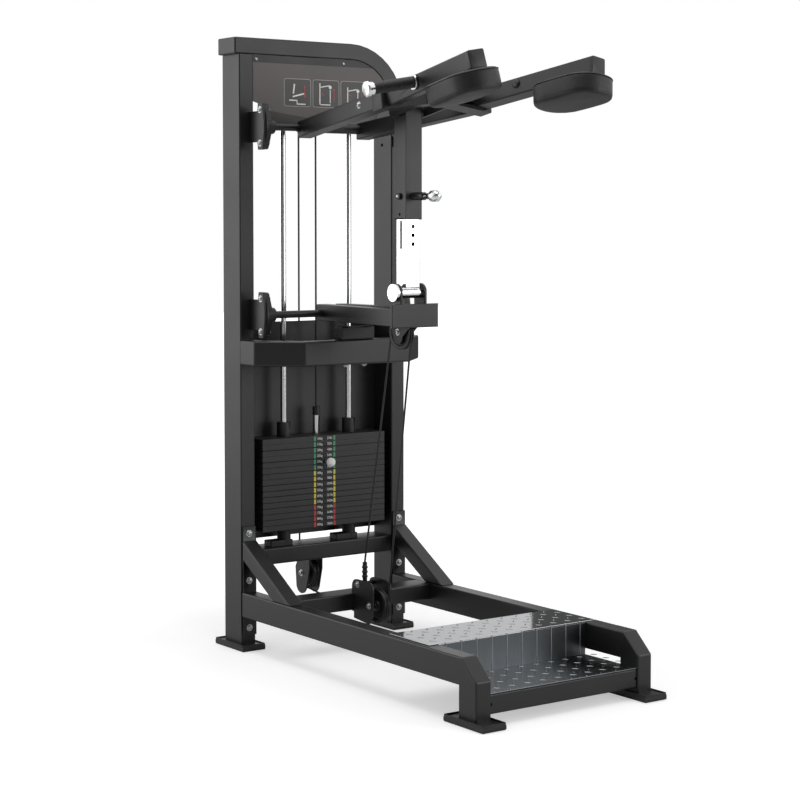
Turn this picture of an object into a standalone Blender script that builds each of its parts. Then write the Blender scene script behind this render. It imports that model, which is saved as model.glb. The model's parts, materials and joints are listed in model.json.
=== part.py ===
# Standing calf raise machine with a weight stack, modelled in metres, +Z up.
# X runs from left to right, from the machine's centre line. Y is measured from the
# front faces of the uprights, negative towards the user, and CENTRE_Y then moves
# everything so that the origin is under the middle of the machine, on the floor.
import math

import bmesh
import bpy
from mathutils import Matrix, Vector

# Clearances
GAP = 0.0003
RUNNING = 0.0003
SLIDING = 0.0007
GROOVE_ROOM = 0.0009
PAST = 0.020

# Frame tubes
HEIGHT = 1.850
FRAME_WIDTH = 0.607
TUBE = 0.050
UPRIGHT_DEPTH = 0.100
WALL = 0.003
BEAM_BEND_RADIUS = 0.200
BEAM_OVERHANG = 0.0146
FOOT_THICKNESS = 0.0166
REAR_FOOT_SIDE = 0.0147
REAR_FOOT_END = 0.032
FRONT_FOOT_SIDE = 0.0139
FRONT_FOOT_END = 0.0455

# Base
RAIL_TOP = 0.177
RAIL_HEIGHT = 0.075
RAIL_REACH = 1.1605
LEG_DEPTH = 0.075
LEG_CHAMFER_LENGTH = 0.0612
LEG_CHAMFER_DROP = 0.0564
FRONT_BAR_SETBACK = 0.006
FRONT_BAR_BOTTOM = 0.031
FRONT_BAR_HEIGHT = 0.0526
JOINT_PLATE_BOTTOM = 0.045
JOINT_PLATE_TOP = 0.377
JOINT_PLATE_THICKNESS = 0.006
BRACE_TOP = 0.335
BRACE_HEEL = 0.277
BRACE_REACH = 0.270
BRACE_INNER_REACH = 0.178
BASE_CROSS_FRONT = 0.210
BASE_CROSS_DEPTH = 0.080
STACK_CROSS_TOP = 0.301

# Step
TREAD_WIDTH = 0.580
TREAD_REAR = 0.760
TREAD_FRONT = 0.940
SHEET = 0.003

# Guard bar
GUARD_BOTTOM = 0.868
GUARD_HEIGHT = 0.075
GUARD_REACH = 0.185
GUARD_STRAIGHT = 0.078
GUARD_FRONT_WIDTH = 0.3846
STOP_WIDTH = 0.123
STOP_DEPTH = 0.042
STOP_HEIGHT = 0.040

# Shafts and bearings
SHAFT_RADIUS = 0.011
SHAFT_REACH = 0.062
LOWER_SHAFT_Z = 1.0195
UPPER_SHAFT_DROP = 0.268
BEARING_PLATE_THICKNESS = 0.010
BEARING_PLATE_HEIGHT = 0.138
BEARING_PLATE_REAR_HEIGHT = 0.092
BEARING_PLATE_NOSE = 0.084
BEARING_PLATE_TIP_HALF = 0.012
BEARING_PLATE_NECK = 0.046
BEARING_INSET = 0.034
FLANGE_THICKNESS = 0.014
FLANGE_LENGTH = 0.136
FLANGE_RADIUS = 0.034
FLANGE_END_RADIUS = 0.014
HUB_RADIUS = 0.022
HUB_LENGTH = 0.020

# Lower lever
LEVER_ARM_WIDTH = 0.040
LEVER_ARM_HEIGHT = 0.050
LEVER_RISE = 0.0025
LEVER_REAR_HALF = 0.0541
LEVER_TIP_HALF = 0.0820
LEVER_REACH = 0.479
LEVER_FACE_WIDTH = 0.166
LEVER_TAIL = 0.025
LEVER_FACE_DROP = 0.0275
LEVER_FACE_HEIGHT = 0.069
LEVER_FACE_THICKNESS = 0.012
EAR_INNER = 0.0389
EAR_THICKNESS = 0.008
EAR_WIDTH = 0.054

# Post
POST_PIN_SETBACK = 0.035
POST_PIN_RISE = 0.0735
POST_PIN_RADIUS = 0.008
POST_PIN_CAP_RADIUS = 0.0255
POST_PIN_CAP_LENGTH = 0.010
POST_PIN_NUT_RADIUS = 0.0128
POST_PIN_NUT_LENGTH = 0.007
BUSH_RADIUS = 0.0165
OUTER_POST_WIDTH = 0.060
OUTER_POST_WALL = 0.0047
OUTER_POST_BOTTOM = 1.305
SLEEVE_ABOVE_PIN = 0.022
POST_SETBACK = 0.002
INNER_POST_ABOVE_PIN = 0.013
INNER_POST_INSET = 0.120
POST_HOLE_RADIUS = 0.00625
POST_HOLE_PITCH = 0.0255
POST_HOLE_DROP = 0.020
POP_PIN_RISE = 0.067
POP_BARREL_RADIUS = 0.0115
POP_BARREL_LENGTH = 0.051
POP_STEM_RADIUS = 0.0055
POP_KNOB_RADIUS = 0.0165
POP_KNOB_REACH = 0.151
POP_KNOB_LENGTH = 0.047
POP_KNOB_SHARES = ((0.085, 0.62), (0.30, 1.0), (0.70, 1.0), (1.0, 0.55))
POP_NECK_SHARE = 0.5

# Yoke
YOKE_REAR_INSET = 0.1715
YOKE_FRONT_INSET = 0.1135
YOKE_REAR_DROP = 0.299
YOKE_FRONT_DROP = 0.239
YOKE_TAIL = 0.006
CROSS_TILT = math.radians(10.0)
YOKE_PAST_PIN = 0.156
CROSS_INSET = 0.1112
CROSS_SETBACK = 0.010
CROSS_END_DROP = 0.238
CROSS_SWEEP = 0.15
CROSS_CLIMB = 0.10
EAR_PLATE_INNER = 0.0475
EAR_PLATE = 0.008
EAR_PLATE_RADIUS = 0.020
EAR_PLATE_BITE = 0.012
UPPER_PIN_DROP = 0.232
SPACER_RADIUS = 0.0165
YOKE_HUB_RADIUS = 0.0145

# Pad arms and pads
ARM_END_INSET = 0.0673
ARM_REACH = 0.430
ARM_END_DROP = 0.110
ARM_SPLAY = math.radians(6.8)
ARM_TILT = math.radians(8.9)
ARM_ROLL = math.radians(9.8)
ARM_BITE = 0.017
ARM_SOLID_END = 0.030
PAD_WIDTH = 0.154
PAD_LENGTH = 0.217
PAD_OVERHANG = 0.026
PAD_DEPTH = 0.0615
PAD_END_RADIUS = 0.075
PAD_CROWN = 0.004
PAD_SEAM_INSET = 0.003
PAD_SEAM_SHARE = 0.10
PAD_ROUND = 0.011
PAD_ROUND_SHARE = 0.20

# Hand grips
GRIP_RADIUS = 0.0165
GRIP_BAR_RADIUS = 0.011
GRIP_SETBACK = 0.290
GRIP_DROP = 0.0185
GRIP_STANDOFF = 0.002
GRIP_LENGTH = 0.1535
GRIP_COLLAR_RADIUS = 0.0215
GRIP_COLLAR_LENGTH = 0.006
GRIP_CAP_LENGTH = 0.012

# Weight stack
PLATE_COUNT = 16
PLATE_WIDTH = 0.452
PLATE_DEPTH = 0.096
PLATE_PITCH = 0.01784
PLATE_SPACE = 0.0004
STACK_BOTTOM = 0.3511
SELECTED_PLATE = 5
ROD_RADIUS = 0.0095
ROD_SPREAD = 0.121
STACK_Y = 0.048
CUSHION_RADIUS = 0.021
COLLAR_RADIUS = 0.021
COLLAR_TOP = 0.6815
STEM_RADIUS = 0.011
STEM_TOP = 0.6965
FITTING_RADIUS = 0.0118
FITTING_TOP = 0.723
SELECTOR_RADIUS = 0.0045
SELECTOR_BALL_RADIUS = 0.014
SELECTOR_BALL_Y = -0.035
SHROUD_TOP = 0.990
SHROUD_BOTTOM = 0.320
SHROUD_THICKNESS = 0.0025

# Placard
PLACARD_THICKNESS = 0.003
PLACARD_SIDE_DROP = 0.190
PLACARD_SHOULDER = (0.205, 0.205)
PLACARD_KNEE = (0.185, 0.2640)
PLACARD_LOWEST_DROP = 0.2640

# Cable and pulleys
CABLE_RADIUS = 0.003
CABLE_LINE_RADIUS = 0.049
PULLEY_WIDTH = 0.018
PULLEY_AXLE_RADIUS = 0.006
BRACKET_PLATE = 0.004
BASE_PULLEY = (-0.288, 0.147)
REAR_PULLEY = (0.098, 0.1945)
TOP_PULLEY_DROP = 0.130
LEVER_PULLEY_SETBACK = 0.034
LEVER_PULLEY_DROP = 0.0155
BASE_BRACKET_HALF = 0.0335
REAR_BRACKET_HALF = 0.0255
LEVER_BRACKET_HALF = 0.0146
TOP_BRACKET_DEPTH = 0.060
BASE_CHEEK_NOSE = 0.022
BASE_CHEEK_TOP = 0.222
BASE_CHEEK_BACK_Y = -0.198
BASE_CHEEK_CORNER = 0.022
BASE_CHEEK_REAR_DROP = 0.044
BASE_CHEEK_LOW_DROP = 0.052
REAR_LEAF_FRONT = 0.045
REAR_LEAF_DROP = 0.040
REAR_LEAF_CENTRE_DROP = 0.035
REAR_LEAF_RADIUS = 0.030
REAR_LEAF_BACK = 0.034
REAR_LEAF_TIP = 0.012
LEVER_CHEEK_BACK = 0.030
LEVER_CHEEK_FRONT_RISE = 0.050
LEVER_CHEEK_BACK_RISE = 0.040
LEVER_CHEEK_DROP = 0.012
LEVER_CHEEK_RADIUS = 0.024
ANCHOR_Y = -0.2186
ANCHOR_BOLT_Z = 0.206
ANCHOR_TOP = 0.270
ANCHOR_RADIUS = 0.007
PULLEY_WRAP_STEPS = 13

# Sizes that follow from the ones above
HALF = FRAME_WIDTH / 2
INNER = HALF - TUBE
BEAM_BOTTOM = HEIGHT - TUBE
STACK_TOP = STACK_BOTTOM + PLATE_COUNT * PLATE_PITCH
UPPER_SHAFT_Z = HEIGHT - UPPER_SHAFT_DROP
YOKE_REAR_HALF = HALF - YOKE_REAR_INSET
YOKE_FRONT_HALF = HALF - YOKE_FRONT_INSET
CROSS_HALF = HALF - CROSS_INSET
UPPER_PIN_Z = HEIGHT - UPPER_PIN_DROP
LEVER_FACE_BOTTOM = LOWER_SHAFT_Z - LEVER_FACE_DROP
POST_PIN_Y = POST_PIN_SETBACK - LEVER_REACH
POST_PIN_Z = LOWER_SHAFT_Z + POST_PIN_RISE
EAR_TOP = POST_PIN_Z + EAR_WIDTH / 2
POST_CENTRE_Y = POST_PIN_Y + POST_SETBACK
OUTER_POST_TOP = UPPER_PIN_Z + SLEEVE_ABOVE_PIN
INNER_POST_BOTTOM = POST_PIN_Z + INNER_POST_ABOVE_PIN
INNER_POST_TOP = OUTER_POST_TOP - INNER_POST_INSET
POST_HOLE_TOP = OUTER_POST_BOTTOM - POST_HOLE_DROP
POP_PIN_Z = OUTER_POST_BOTTOM + POP_PIN_RISE
POP_KNOB_FRONT = POST_PIN_Y - POP_KNOB_REACH
POP_KNOB_BACK = POP_KNOB_FRONT + POP_KNOB_LENGTH
CROSS_END_BOTTOM = HEIGHT - CROSS_END_DROP
YOKE_REACH = YOKE_PAST_PIN - POST_PIN_Y
CROSS_END_FRONT = YOKE_REACH - CROSS_SETBACK
ARM_END = Vector((ARM_END_INSET - HALF, -YOKE_REACH - ARM_REACH, HEIGHT - ARM_END_DROP))
TOP_PULLEY = (REAR_PULLEY[0], HEIGHT - TOP_PULLEY_DROP)
LEVER_PULLEY = (POST_PIN_Y + LEVER_PULLEY_SETBACK, LEVER_FACE_BOTTOM - LEVER_PULLEY_DROP)
REAR_RUN_Y = REAR_PULLEY[0] + CABLE_LINE_RADIUS
MACHINE_FRONT = -RAIL_REACH - FRONT_FOOT_END
MACHINE_REAR = max(REAR_RUN_Y + CABLE_RADIUS, UPRIGHT_DEPTH + REAR_FOOT_END)
CENTRE_Y = -(MACHINE_FRONT + MACHINE_REAR) / 2
ARM_WIDTH = TUBE
ARM_LENGTH = (-ARM_END.y - CROSS_END_FRONT + ARM_BITE) / (math.cos(ARM_SPLAY) * math.cos(ARM_TILT))
RING = 24
BEND_STEPS = 10
WHEEL_STEPS = 24


def material(name, colour, roughness, metallic):
    """A Principled material of one colour."""
    made = bpy.data.materials.new(name)
    made.use_nodes = True
    shader = made.node_tree.nodes["Principled BSDF"]
    shader.inputs["Base Color"].default_value = (*colour, 1.0)
    shader.inputs["Roughness"].default_value = roughness
    shader.inputs["Metallic"].default_value = metallic
    made.diffuse_color = (*colour, 1.0)
    return made


def prism(outline, axis, low, high):
    """A flat outline pushed from low to high along an axis.

    The outline's pairs are (y, z) for axis X, (x, z) for axis Y and (x, y) for axis Z.
    """
    shape = bmesh.new()
    places = {"X": lambda u, v, w: (w, u, v), "Y": lambda u, v, w: (u, w, v), "Z": lambda u, v, w: (u, v, w)}
    place = places[axis]
    near = [shape.verts.new(place(u, v, low)) for u, v in outline]
    far = [shape.verts.new(place(u, v, high)) for u, v in outline]
    shape.faces.new(near)
    shape.faces.new(list(reversed(far)))
    for i in range(len(outline)):
        j = (i + 1) % len(outline)
        shape.faces.new((near[j], near[i], far[i], far[j]))
    bmesh.ops.recalc_face_normals(shape, faces=shape.faces)
    return shape


def box(x, y, z):
    """A block between three pairs of limits."""
    return prism([(x[0], y[0]), (x[1], y[0]), (x[1], y[1]), (x[0], y[1])], "Z", z[0], z[1])


def turned(profile, start, direction, steps=RING):
    """A solid of revolution: the profile's pairs are (distance along the axis, radius)."""
    shape = bmesh.new()
    turn = Vector(direction).to_track_quat("Z", "Y").to_matrix().to_4x4()
    matrix = Matrix.Translation(Vector(start)) @ turn
    rings = []
    for along, radius in profile:
        if radius == 0:
            rings.append([shape.verts.new(matrix @ Vector((0, 0, along)))])
            continue
        angles = [2 * math.pi * k / steps for k in range(steps)]
        points = [Vector((radius * math.cos(a), radius * math.sin(a), along)) for a in angles]
        rings.append([shape.verts.new(matrix @ p) for p in points])
    for first, second in zip(rings, rings[1:]):
        for k in range(steps):
            n = (k + 1) % steps
            if len(first) == 1:
                shape.faces.new((first[0], second[n], second[k]))
            elif len(second) == 1:
                shape.faces.new((first[k], first[n], second[0]))
            else:
                shape.faces.new((first[k], first[n], second[n], second[k]))
    if len(rings[0]) > 1:
        shape.faces.new(list(reversed(rings[0])))
    if len(rings[-1]) > 1:
        shape.faces.new(rings[-1])
    bmesh.ops.recalc_face_normals(shape, faces=shape.faces)
    return shape


def rod(start, end, radius, steps=RING):
    """A round bar from one point to another."""
    start, end = Vector(start), Vector(end)
    length = (end - start).length
    return turned([(0, radius), (length, radius)], start, end - start, steps)


def cross_rod(y, z, low, high, radius, steps=RING):
    """A round bar along X."""
    return rod((low, y, z), (high, y, z), radius, steps)


def loft(sections):
    """A skin through sections of equally many points, closed at both ends."""
    shape = bmesh.new()
    rings = [[shape.verts.new(p) for p in section] for section in sections]
    count = len(rings[0])
    for first, second in zip(rings, rings[1:]):
        for k in range(count):
            n = (k + 1) % count
            shape.faces.new((first[k], first[n], second[n], second[k]))
    shape.faces.new(list(reversed(rings[0])))
    shape.faces.new(rings[-1])
    bmesh.ops.recalc_face_normals(shape, faces=shape.faces)
    return shape


def mirrored(shape):
    """The same shape on the other side of the centre line."""
    other = shape.copy()
    for vert in other.verts:
        vert.co.x = -vert.co.x
    bmesh.ops.reverse_faces(other, faces=other.faces)
    return other


def moved(shape, matrix):
    """The shape placed by a matrix."""
    bmesh.ops.transform(shape, matrix=matrix, verts=shape.verts)
    return shape


def arc(centre, radius, start, end, steps):
    """Points on an arc, angles in degrees."""
    points = []
    for k in range(steps + 1):
        angle = math.radians(start + (end - start) * k / steps)
        points.append((centre[0] + radius * math.cos(angle), centre[1] + radius * math.sin(angle)))
    return points


def as_object(name, shape):
    """A scene object that holds the shape, moved over the machine's origin."""
    for vert in shape.verts:
        vert.co.y += CENTRE_Y
    mesh = bpy.data.meshes.new(name)
    shape.to_mesh(mesh)
    shape.free()
    made = bpy.data.objects.new(name, mesh)
    bpy.context.scene.collection.objects.link(made)
    return made


def solid(name, look, shapes, cuts=(), pivot=None):
    """One closed piece: the shapes joined, less the cuts, with its origin at its pivot."""
    made = as_object(name, shapes[0])
    tools = []
    for operation, others in (("UNION", shapes[1:]), ("DIFFERENCE", cuts)):
        for other in others:
            tool = as_object(name + "_tool", other)
            step = made.modifiers.new(operation.lower(), "BOOLEAN")
            step.operation = operation
            step.solver = "EXACT"
            step.object = tool
            tools.append(tool)
    if tools:
        bpy.context.view_layer.update()
        graph = bpy.context.evaluated_depsgraph_get()
        result = bpy.data.meshes.new_from_object(made.evaluated_get(graph))
        made.modifiers.clear()
        made.data = result
        for tool in tools:
            bpy.data.objects.remove(tool)
    made.data.materials.clear()
    made.data.materials.append(look)
    made.data.shade_smooth()
    made.data.set_sharp_from_angle(angle=math.radians(32))
    if pivot:
        place = Vector((pivot[0], pivot[1] + CENTRE_Y, pivot[2]))
        made.data.transform(Matrix.Translation(-place))
        made.location = place
    return made


def sided(side, low, high):
    """Limits in X on the left (-1) or the right (1) of the centre line."""
    return (low, high) if side > 0 else (-high, -low)


SIDES = {"left": -1, "right": 1}


def make_uprights(paint):
    """Two tubes on feet; the right one stops where the top beam's bend comes down."""
    tops = {"left": BEAM_BOTTOM, "right": HEIGHT - BEAM_BEND_RADIUS}
    for name, side in SIDES.items():
        across = sided(side, INNER, HALF)
        foot_across = sided(side, INNER - REAR_FOOT_SIDE, HALF + REAR_FOOT_SIDE)
        tube = box(across, (0, UPRIGHT_DEPTH), (FOOT_THICKNESS / 2, tops[name] - GAP))
        foot = box(foot_across, (-REAR_FOOT_END, UPRIGHT_DEPTH + REAR_FOOT_END), (0, FOOT_THICKNESS))
        core_across = sided(side, INNER + WALL, HALF - WALL)
        core = box(core_across, (WALL, UPRIGHT_DEPTH - WALL), (FOOT_THICKNESS + WALL, HEIGHT))
        solid(name + "_upright", paint, [tube, foot], [core])


def make_top_beam(paint):
    """A tube along the top, bent down into the right upright, with the top pulley's bracket."""
    centre = (HALF - BEAM_BEND_RADIUS, HEIGHT - BEAM_BEND_RADIUS)
    left = -HALF - BEAM_OVERHANG
    inner_radius = BEAM_BEND_RADIUS - TUBE
    outline = [(left, BEAM_BOTTOM), (left, HEIGHT)]
    outline += arc(centre, BEAM_BEND_RADIUS, 90, 0, BEND_STEPS)
    outline += arc(centre, inner_radius, 0, 90, BEND_STEPS)
    core = [(left + WALL, BEAM_BOTTOM + WALL), (left + WALL, HEIGHT - WALL)]
    core += arc(centre, BEAM_BEND_RADIUS - WALL, 90, 0, BEND_STEPS)
    core += [(HALF - WALL, centre[1] - PAST), (INNER + WALL, centre[1] - PAST)]
    core += arc(centre, inner_radius + WALL, 0, 90, BEND_STEPS)
    beam = prism(outline, "Y", 0, UPRIGHT_DEPTH)
    hollow = prism(core, "Y", WALL, UPRIGHT_DEPTH - WALL)
    y, z = TOP_PULLEY
    shapes = [beam]
    half_depth = TOP_BRACKET_DEPTH / 2
    for side in SIDES.values():
        plate = box(
            sided(side, REAR_BRACKET_HALF - BRACKET_PLATE, REAR_BRACKET_HALF),
            (y - half_depth, y + half_depth),
            (z - half_depth, BEAM_BOTTOM + WALL / 2),
        )
        shapes.append(plate)
    back = box(
        (-REAR_BRACKET_HALF, REAR_BRACKET_HALF),
        (UPRIGHT_DEPTH - WALL / 2, y + half_depth),
        (BEAM_BOTTOM - BRACKET_PLATE, BEAM_BOTTOM + BRACKET_PLATE),
    )
    shapes.append(back)
    reach = REAR_BRACKET_HALF - BRACKET_PLATE / 2
    shapes.append(cross_rod(y, z, -reach, reach, PULLEY_AXLE_RADIUS, 16))
    solid("top_beam", paint, shapes, [hollow])


def make_base(paint):
    """Rails with legs, feet and joint plates, the braces, and the bar between the legs."""
    front = -RAIL_REACH
    rail_bottom = RAIL_TOP - RAIL_HEIGHT
    leg_rear = front + LEG_DEPTH
    chamfer_low = RAIL_TOP - LEG_CHAMFER_DROP
    chamfer_end = front + LEG_CHAMFER_LENGTH
    plate_front = -JOINT_PLATE_THICKNESS
    foot_top = FOOT_THICKNESS
    end = plate_front / 2
    outline = [
        (end, RAIL_TOP), (chamfer_end, RAIL_TOP), (front, chamfer_low), (front, foot_top / 2),
        (leg_rear, foot_top / 2), (leg_rear, rail_bottom), (end, rail_bottom),
    ]
    core = [
        (PAST, RAIL_TOP - WALL), (chamfer_end, RAIL_TOP - WALL), (front + WALL, chamfer_low - WALL),
        (front + WALL, foot_top + WALL), (leg_rear - WALL, foot_top + WALL),
        (leg_rear - WALL, rail_bottom + WALL), (PAST, rail_bottom + WALL),
    ]
    brace_end = plate_front - GAP
    brace = [
        (brace_end, BRACE_TOP), (-BRACE_REACH, RAIL_TOP + GAP),
        (-BRACE_INNER_REACH, RAIL_TOP + GAP), (brace_end, BRACE_HEEL),
    ]
    for name, side in SIDES.items():
        across = sided(side, INNER, HALF)
        tube = prism(outline, "X", *across)
        foot = box(
            sided(side, INNER - FRONT_FOOT_SIDE, HALF + FRONT_FOOT_SIDE),
            (front - FRONT_FOOT_END, leg_rear + FRONT_FOOT_END),
            (0, foot_top),
        )
        plate = box(across, (plate_front, -GAP), (JOINT_PLATE_BOTTOM, JOINT_PLATE_TOP))
        hollow = prism(core, "X", *sided(side, INNER + WALL, HALF - WALL))
        solid(name + "_base_rail", paint, [tube, foot, plate], [hollow])
        solid(name + "_brace", paint, [prism(brace, "X", *across)])
    inner = INNER - GAP
    bar_front = front + FRONT_BAR_SETBACK
    bar_top = FRONT_BAR_BOTTOM + FRONT_BAR_HEIGHT
    bar = box((-inner, inner), (bar_front, bar_front + TUBE), (FRONT_BAR_BOTTOM, bar_top))
    bar_core = box(
        (-HALF, HALF), (bar_front + WALL, bar_front + TUBE - WALL), (FRONT_BAR_BOTTOM + WALL, bar_top - WALL)
    )
    solid("front_cross_bar", paint, [bar], [bar_core])


def make_cross_tubes(paint):
    """The base cross tube with the base pulley's bracket, and the tube that carries the stack."""
    inner = INNER - GAP
    rear = -BASE_CROSS_FRONT + BASE_CROSS_DEPTH
    bottom = RAIL_TOP - TUBE
    shapes = [box((-inner, inner), (-BASE_CROSS_FRONT, rear), (bottom, RAIL_TOP))]
    y, z = BASE_PULLEY
    nose = BASE_CHEEK_NOSE
    cheek = [
        (-BASE_CROSS_FRONT + WALL / 2, z - BASE_CHEEK_REAR_DROP), (y, z - BASE_CHEEK_LOW_DROP),
        (y - nose, z - nose),
    ]
    corner = BASE_CHEEK_CORNER
    level = BASE_CHEEK_TOP - corner
    cheek += arc((y - nose + corner, level), corner, 180, 90, 4)
    cheek += arc((BASE_CHEEK_BACK_Y - corner, level), corner, 90, 0, 4)
    cheek += [(BASE_CHEEK_BACK_Y, RAIL_TOP - WALL / 2), (-BASE_CROSS_FRONT + WALL / 2, RAIL_TOP - WALL / 2)]
    reach = BASE_BRACKET_HALF - BRACKET_PLATE / 2
    for side in SIDES.values():
        shapes.append(prism(cheek, "X", *sided(side, BASE_BRACKET_HALF - BRACKET_PLATE, BASE_BRACKET_HALF)))
    shapes.append(cross_rod(y, z, -reach, reach, PULLEY_AXLE_RADIUS, 16))
    shapes.append(cross_rod(ANCHOR_Y, ANCHOR_BOLT_Z, -reach, reach, PULLEY_AXLE_RADIUS, 16))
    anchor_low = ANCHOR_BOLT_Z - PULLEY_AXLE_RADIUS / 2
    shapes.append(rod((0, ANCHOR_Y, anchor_low), (0, ANCHOR_Y, ANCHOR_TOP), ANCHOR_RADIUS, 20))
    core = box(
        (-HALF, HALF), (-BASE_CROSS_FRONT + WALL, rear - WALL), (bottom + WALL, RAIL_TOP - WALL)
    )
    solid("base_cross_tube", paint, shapes, [core])

    stack_bottom = STACK_CROSS_TOP - TUBE
    shapes = [box((-inner, inner), (0, UPRIGHT_DEPTH), (stack_bottom, STACK_CROSS_TOP))]
    y, z = REAR_PULLEY
    shoulder = stack_bottom - REAR_LEAF_DROP
    leaf = [(y - REAR_LEAF_FRONT, stack_bottom + WALL / 2), (y - REAR_LEAF_FRONT, shoulder)]
    leaf += arc((y, z - REAR_LEAF_CENTRE_DROP), REAR_LEAF_RADIUS, 200, 340, 8)
    leaf += [
        (y + REAR_LEAF_BACK, shoulder), (y + REAR_LEAF_TIP, stack_bottom - GAP), (y, stack_bottom + WALL / 2)
    ]
    for side in SIDES.values():
        shapes.append(prism(leaf, "X", *sided(side, REAR_BRACKET_HALF - BRACKET_PLATE, REAR_BRACKET_HALF)))
    reach = REAR_BRACKET_HALF - BRACKET_PLATE / 2
    shapes.append(cross_rod(y, z, -reach, reach, PULLEY_AXLE_RADIUS, 16))
    core = box((-HALF, HALF), (WALL, UPRIGHT_DEPTH - WALL), (stack_bottom + WALL, STACK_CROSS_TOP - WALL))
    solid("stack_cross_tube", paint, shapes, [core])


def make_step(tread, sheet):
    """The flat tread on the rails, and the riser and lower deck between them."""
    half = TREAD_WIDTH / 2
    top = box((-half, half), (-TREAD_FRONT, -TREAD_REAR), (RAIL_TOP + GAP, RAIL_TOP + GAP + SHEET))
    solid("foot_tread", tread, [top])
    inner = INNER - GAP
    deck_bottom = FRONT_BAR_BOTTOM + FRONT_BAR_HEIGHT + GAP
    front = -RAIL_REACH + FRONT_BAR_SETBACK
    outline = [
        (front, deck_bottom), (-TREAD_FRONT, deck_bottom), (-TREAD_FRONT, RAIL_TOP),
        (-TREAD_FRONT - SHEET, RAIL_TOP), (-TREAD_FRONT - SHEET, deck_bottom + SHEET),
        (front, deck_bottom + SHEET),
    ]
    solid("foot_deck", sheet, [prism(outline, "X", -inner, inner)])


def guard_outline(inset, past):
    """Half of the guard bar seen from above, from the front middle round to the upright."""
    slant = math.tan(math.radians(22.5))
    front = -GUARD_REACH + inset
    corner_x = GUARD_FRONT_WIDTH / 2 - inset * slant
    side_x = HALF - inset
    corner_y = -GUARD_STRAIGHT + inset * slant
    return [(corner_x, front), (side_x, corner_y), (side_x, past)]


def make_guard(paint, rubber):
    """A bent tube in front of the stack, and the rubber block that the lever rests near."""
    outlines = []
    for outer_inset, inner_inset, end in ((0, TUBE, -GAP), (WALL, TUBE - WALL, PAST)):
        outer = guard_outline(outer_inset, end)
        inner = guard_outline(inner_inset, end)
        right = outer + list(reversed(inner))
        left = [(-x, y) for x, y in reversed(right)]
        outlines.append(right + left)
    top = GUARD_BOTTOM + GUARD_HEIGHT
    bar = prism(outlines[0], "Z", GUARD_BOTTOM, top)
    core = prism(outlines[1], "Z", GUARD_BOTTOM + WALL, top - WALL)
    solid("guard_bar", paint, [bar], [core])
    block = box(
        (-STOP_WIDTH / 2, STOP_WIDTH / 2),
        (-GUARD_REACH, -GUARD_REACH + STOP_DEPTH),
        (top + GAP, top + GAP + STOP_HEIGHT),
    )
    solid("lever_stop", rubber, [block])


def make_bearings(paint):
    """Four flange bearings on plates that stand out from the uprights."""
    outer_face = HALF - BEARING_INSET
    plate_inner = outer_face - BEARING_PLATE_THICKNESS
    flange_inner = plate_inner - FLANGE_THICKNESS
    hub_end = flange_inner - HUB_LENGTH
    half = BEARING_PLATE_HEIGHT / 2
    rear_half = BEARING_PLATE_REAR_HEIGHT / 2
    for level, height in (("lower", LOWER_SHAFT_Z), ("upper", UPPER_SHAFT_Z)):
        tip = BEARING_PLATE_TIP_HALF
        edge = [
            (GAP, rear_half), (BEARING_PLATE_NECK, rear_half), (SHAFT_REACH - tip, half),
            (SHAFT_REACH + tip, half), (BEARING_PLATE_NOSE, tip),
        ]
        plate = [(-y, height + z) for y, z in edge] + [(-y, height - z) for y, z in reversed(edge)]
        foot = FLANGE_LENGTH / 2 - FLANGE_END_RADIUS
        flange = arc((-SHAFT_REACH, height + foot), FLANGE_END_RADIUS, 20, 160, 6)
        flange += arc((-SHAFT_REACH, height), FLANGE_RADIUS, 150, 210, 4)
        flange += arc((-SHAFT_REACH, height - foot), FLANGE_END_RADIUS, 200, 340, 6)
        flange += arc((-SHAFT_REACH, height), FLANGE_RADIUS, -30, 30, 4)
        for name, side in SIDES.items():
            shapes = [prism(plate, "X", *sided(side, plate_inner, outer_face))]
            shapes.append(prism(flange, "X", *sided(side, flange_inner, plate_inner + WALL / 2)))
            hub = sided(side, hub_end, plate_inner)
            shapes.append(cross_rod(-SHAFT_REACH, height, hub[0], hub[1], HUB_RADIUS))
            bore = cross_rod(-SHAFT_REACH, height, *sided(side, hub_end - PAST, plate_inner), SHAFT_RADIUS + RUNNING)
            solid("_".join((level, name, "bearing")), paint, shapes, [bore])


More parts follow.
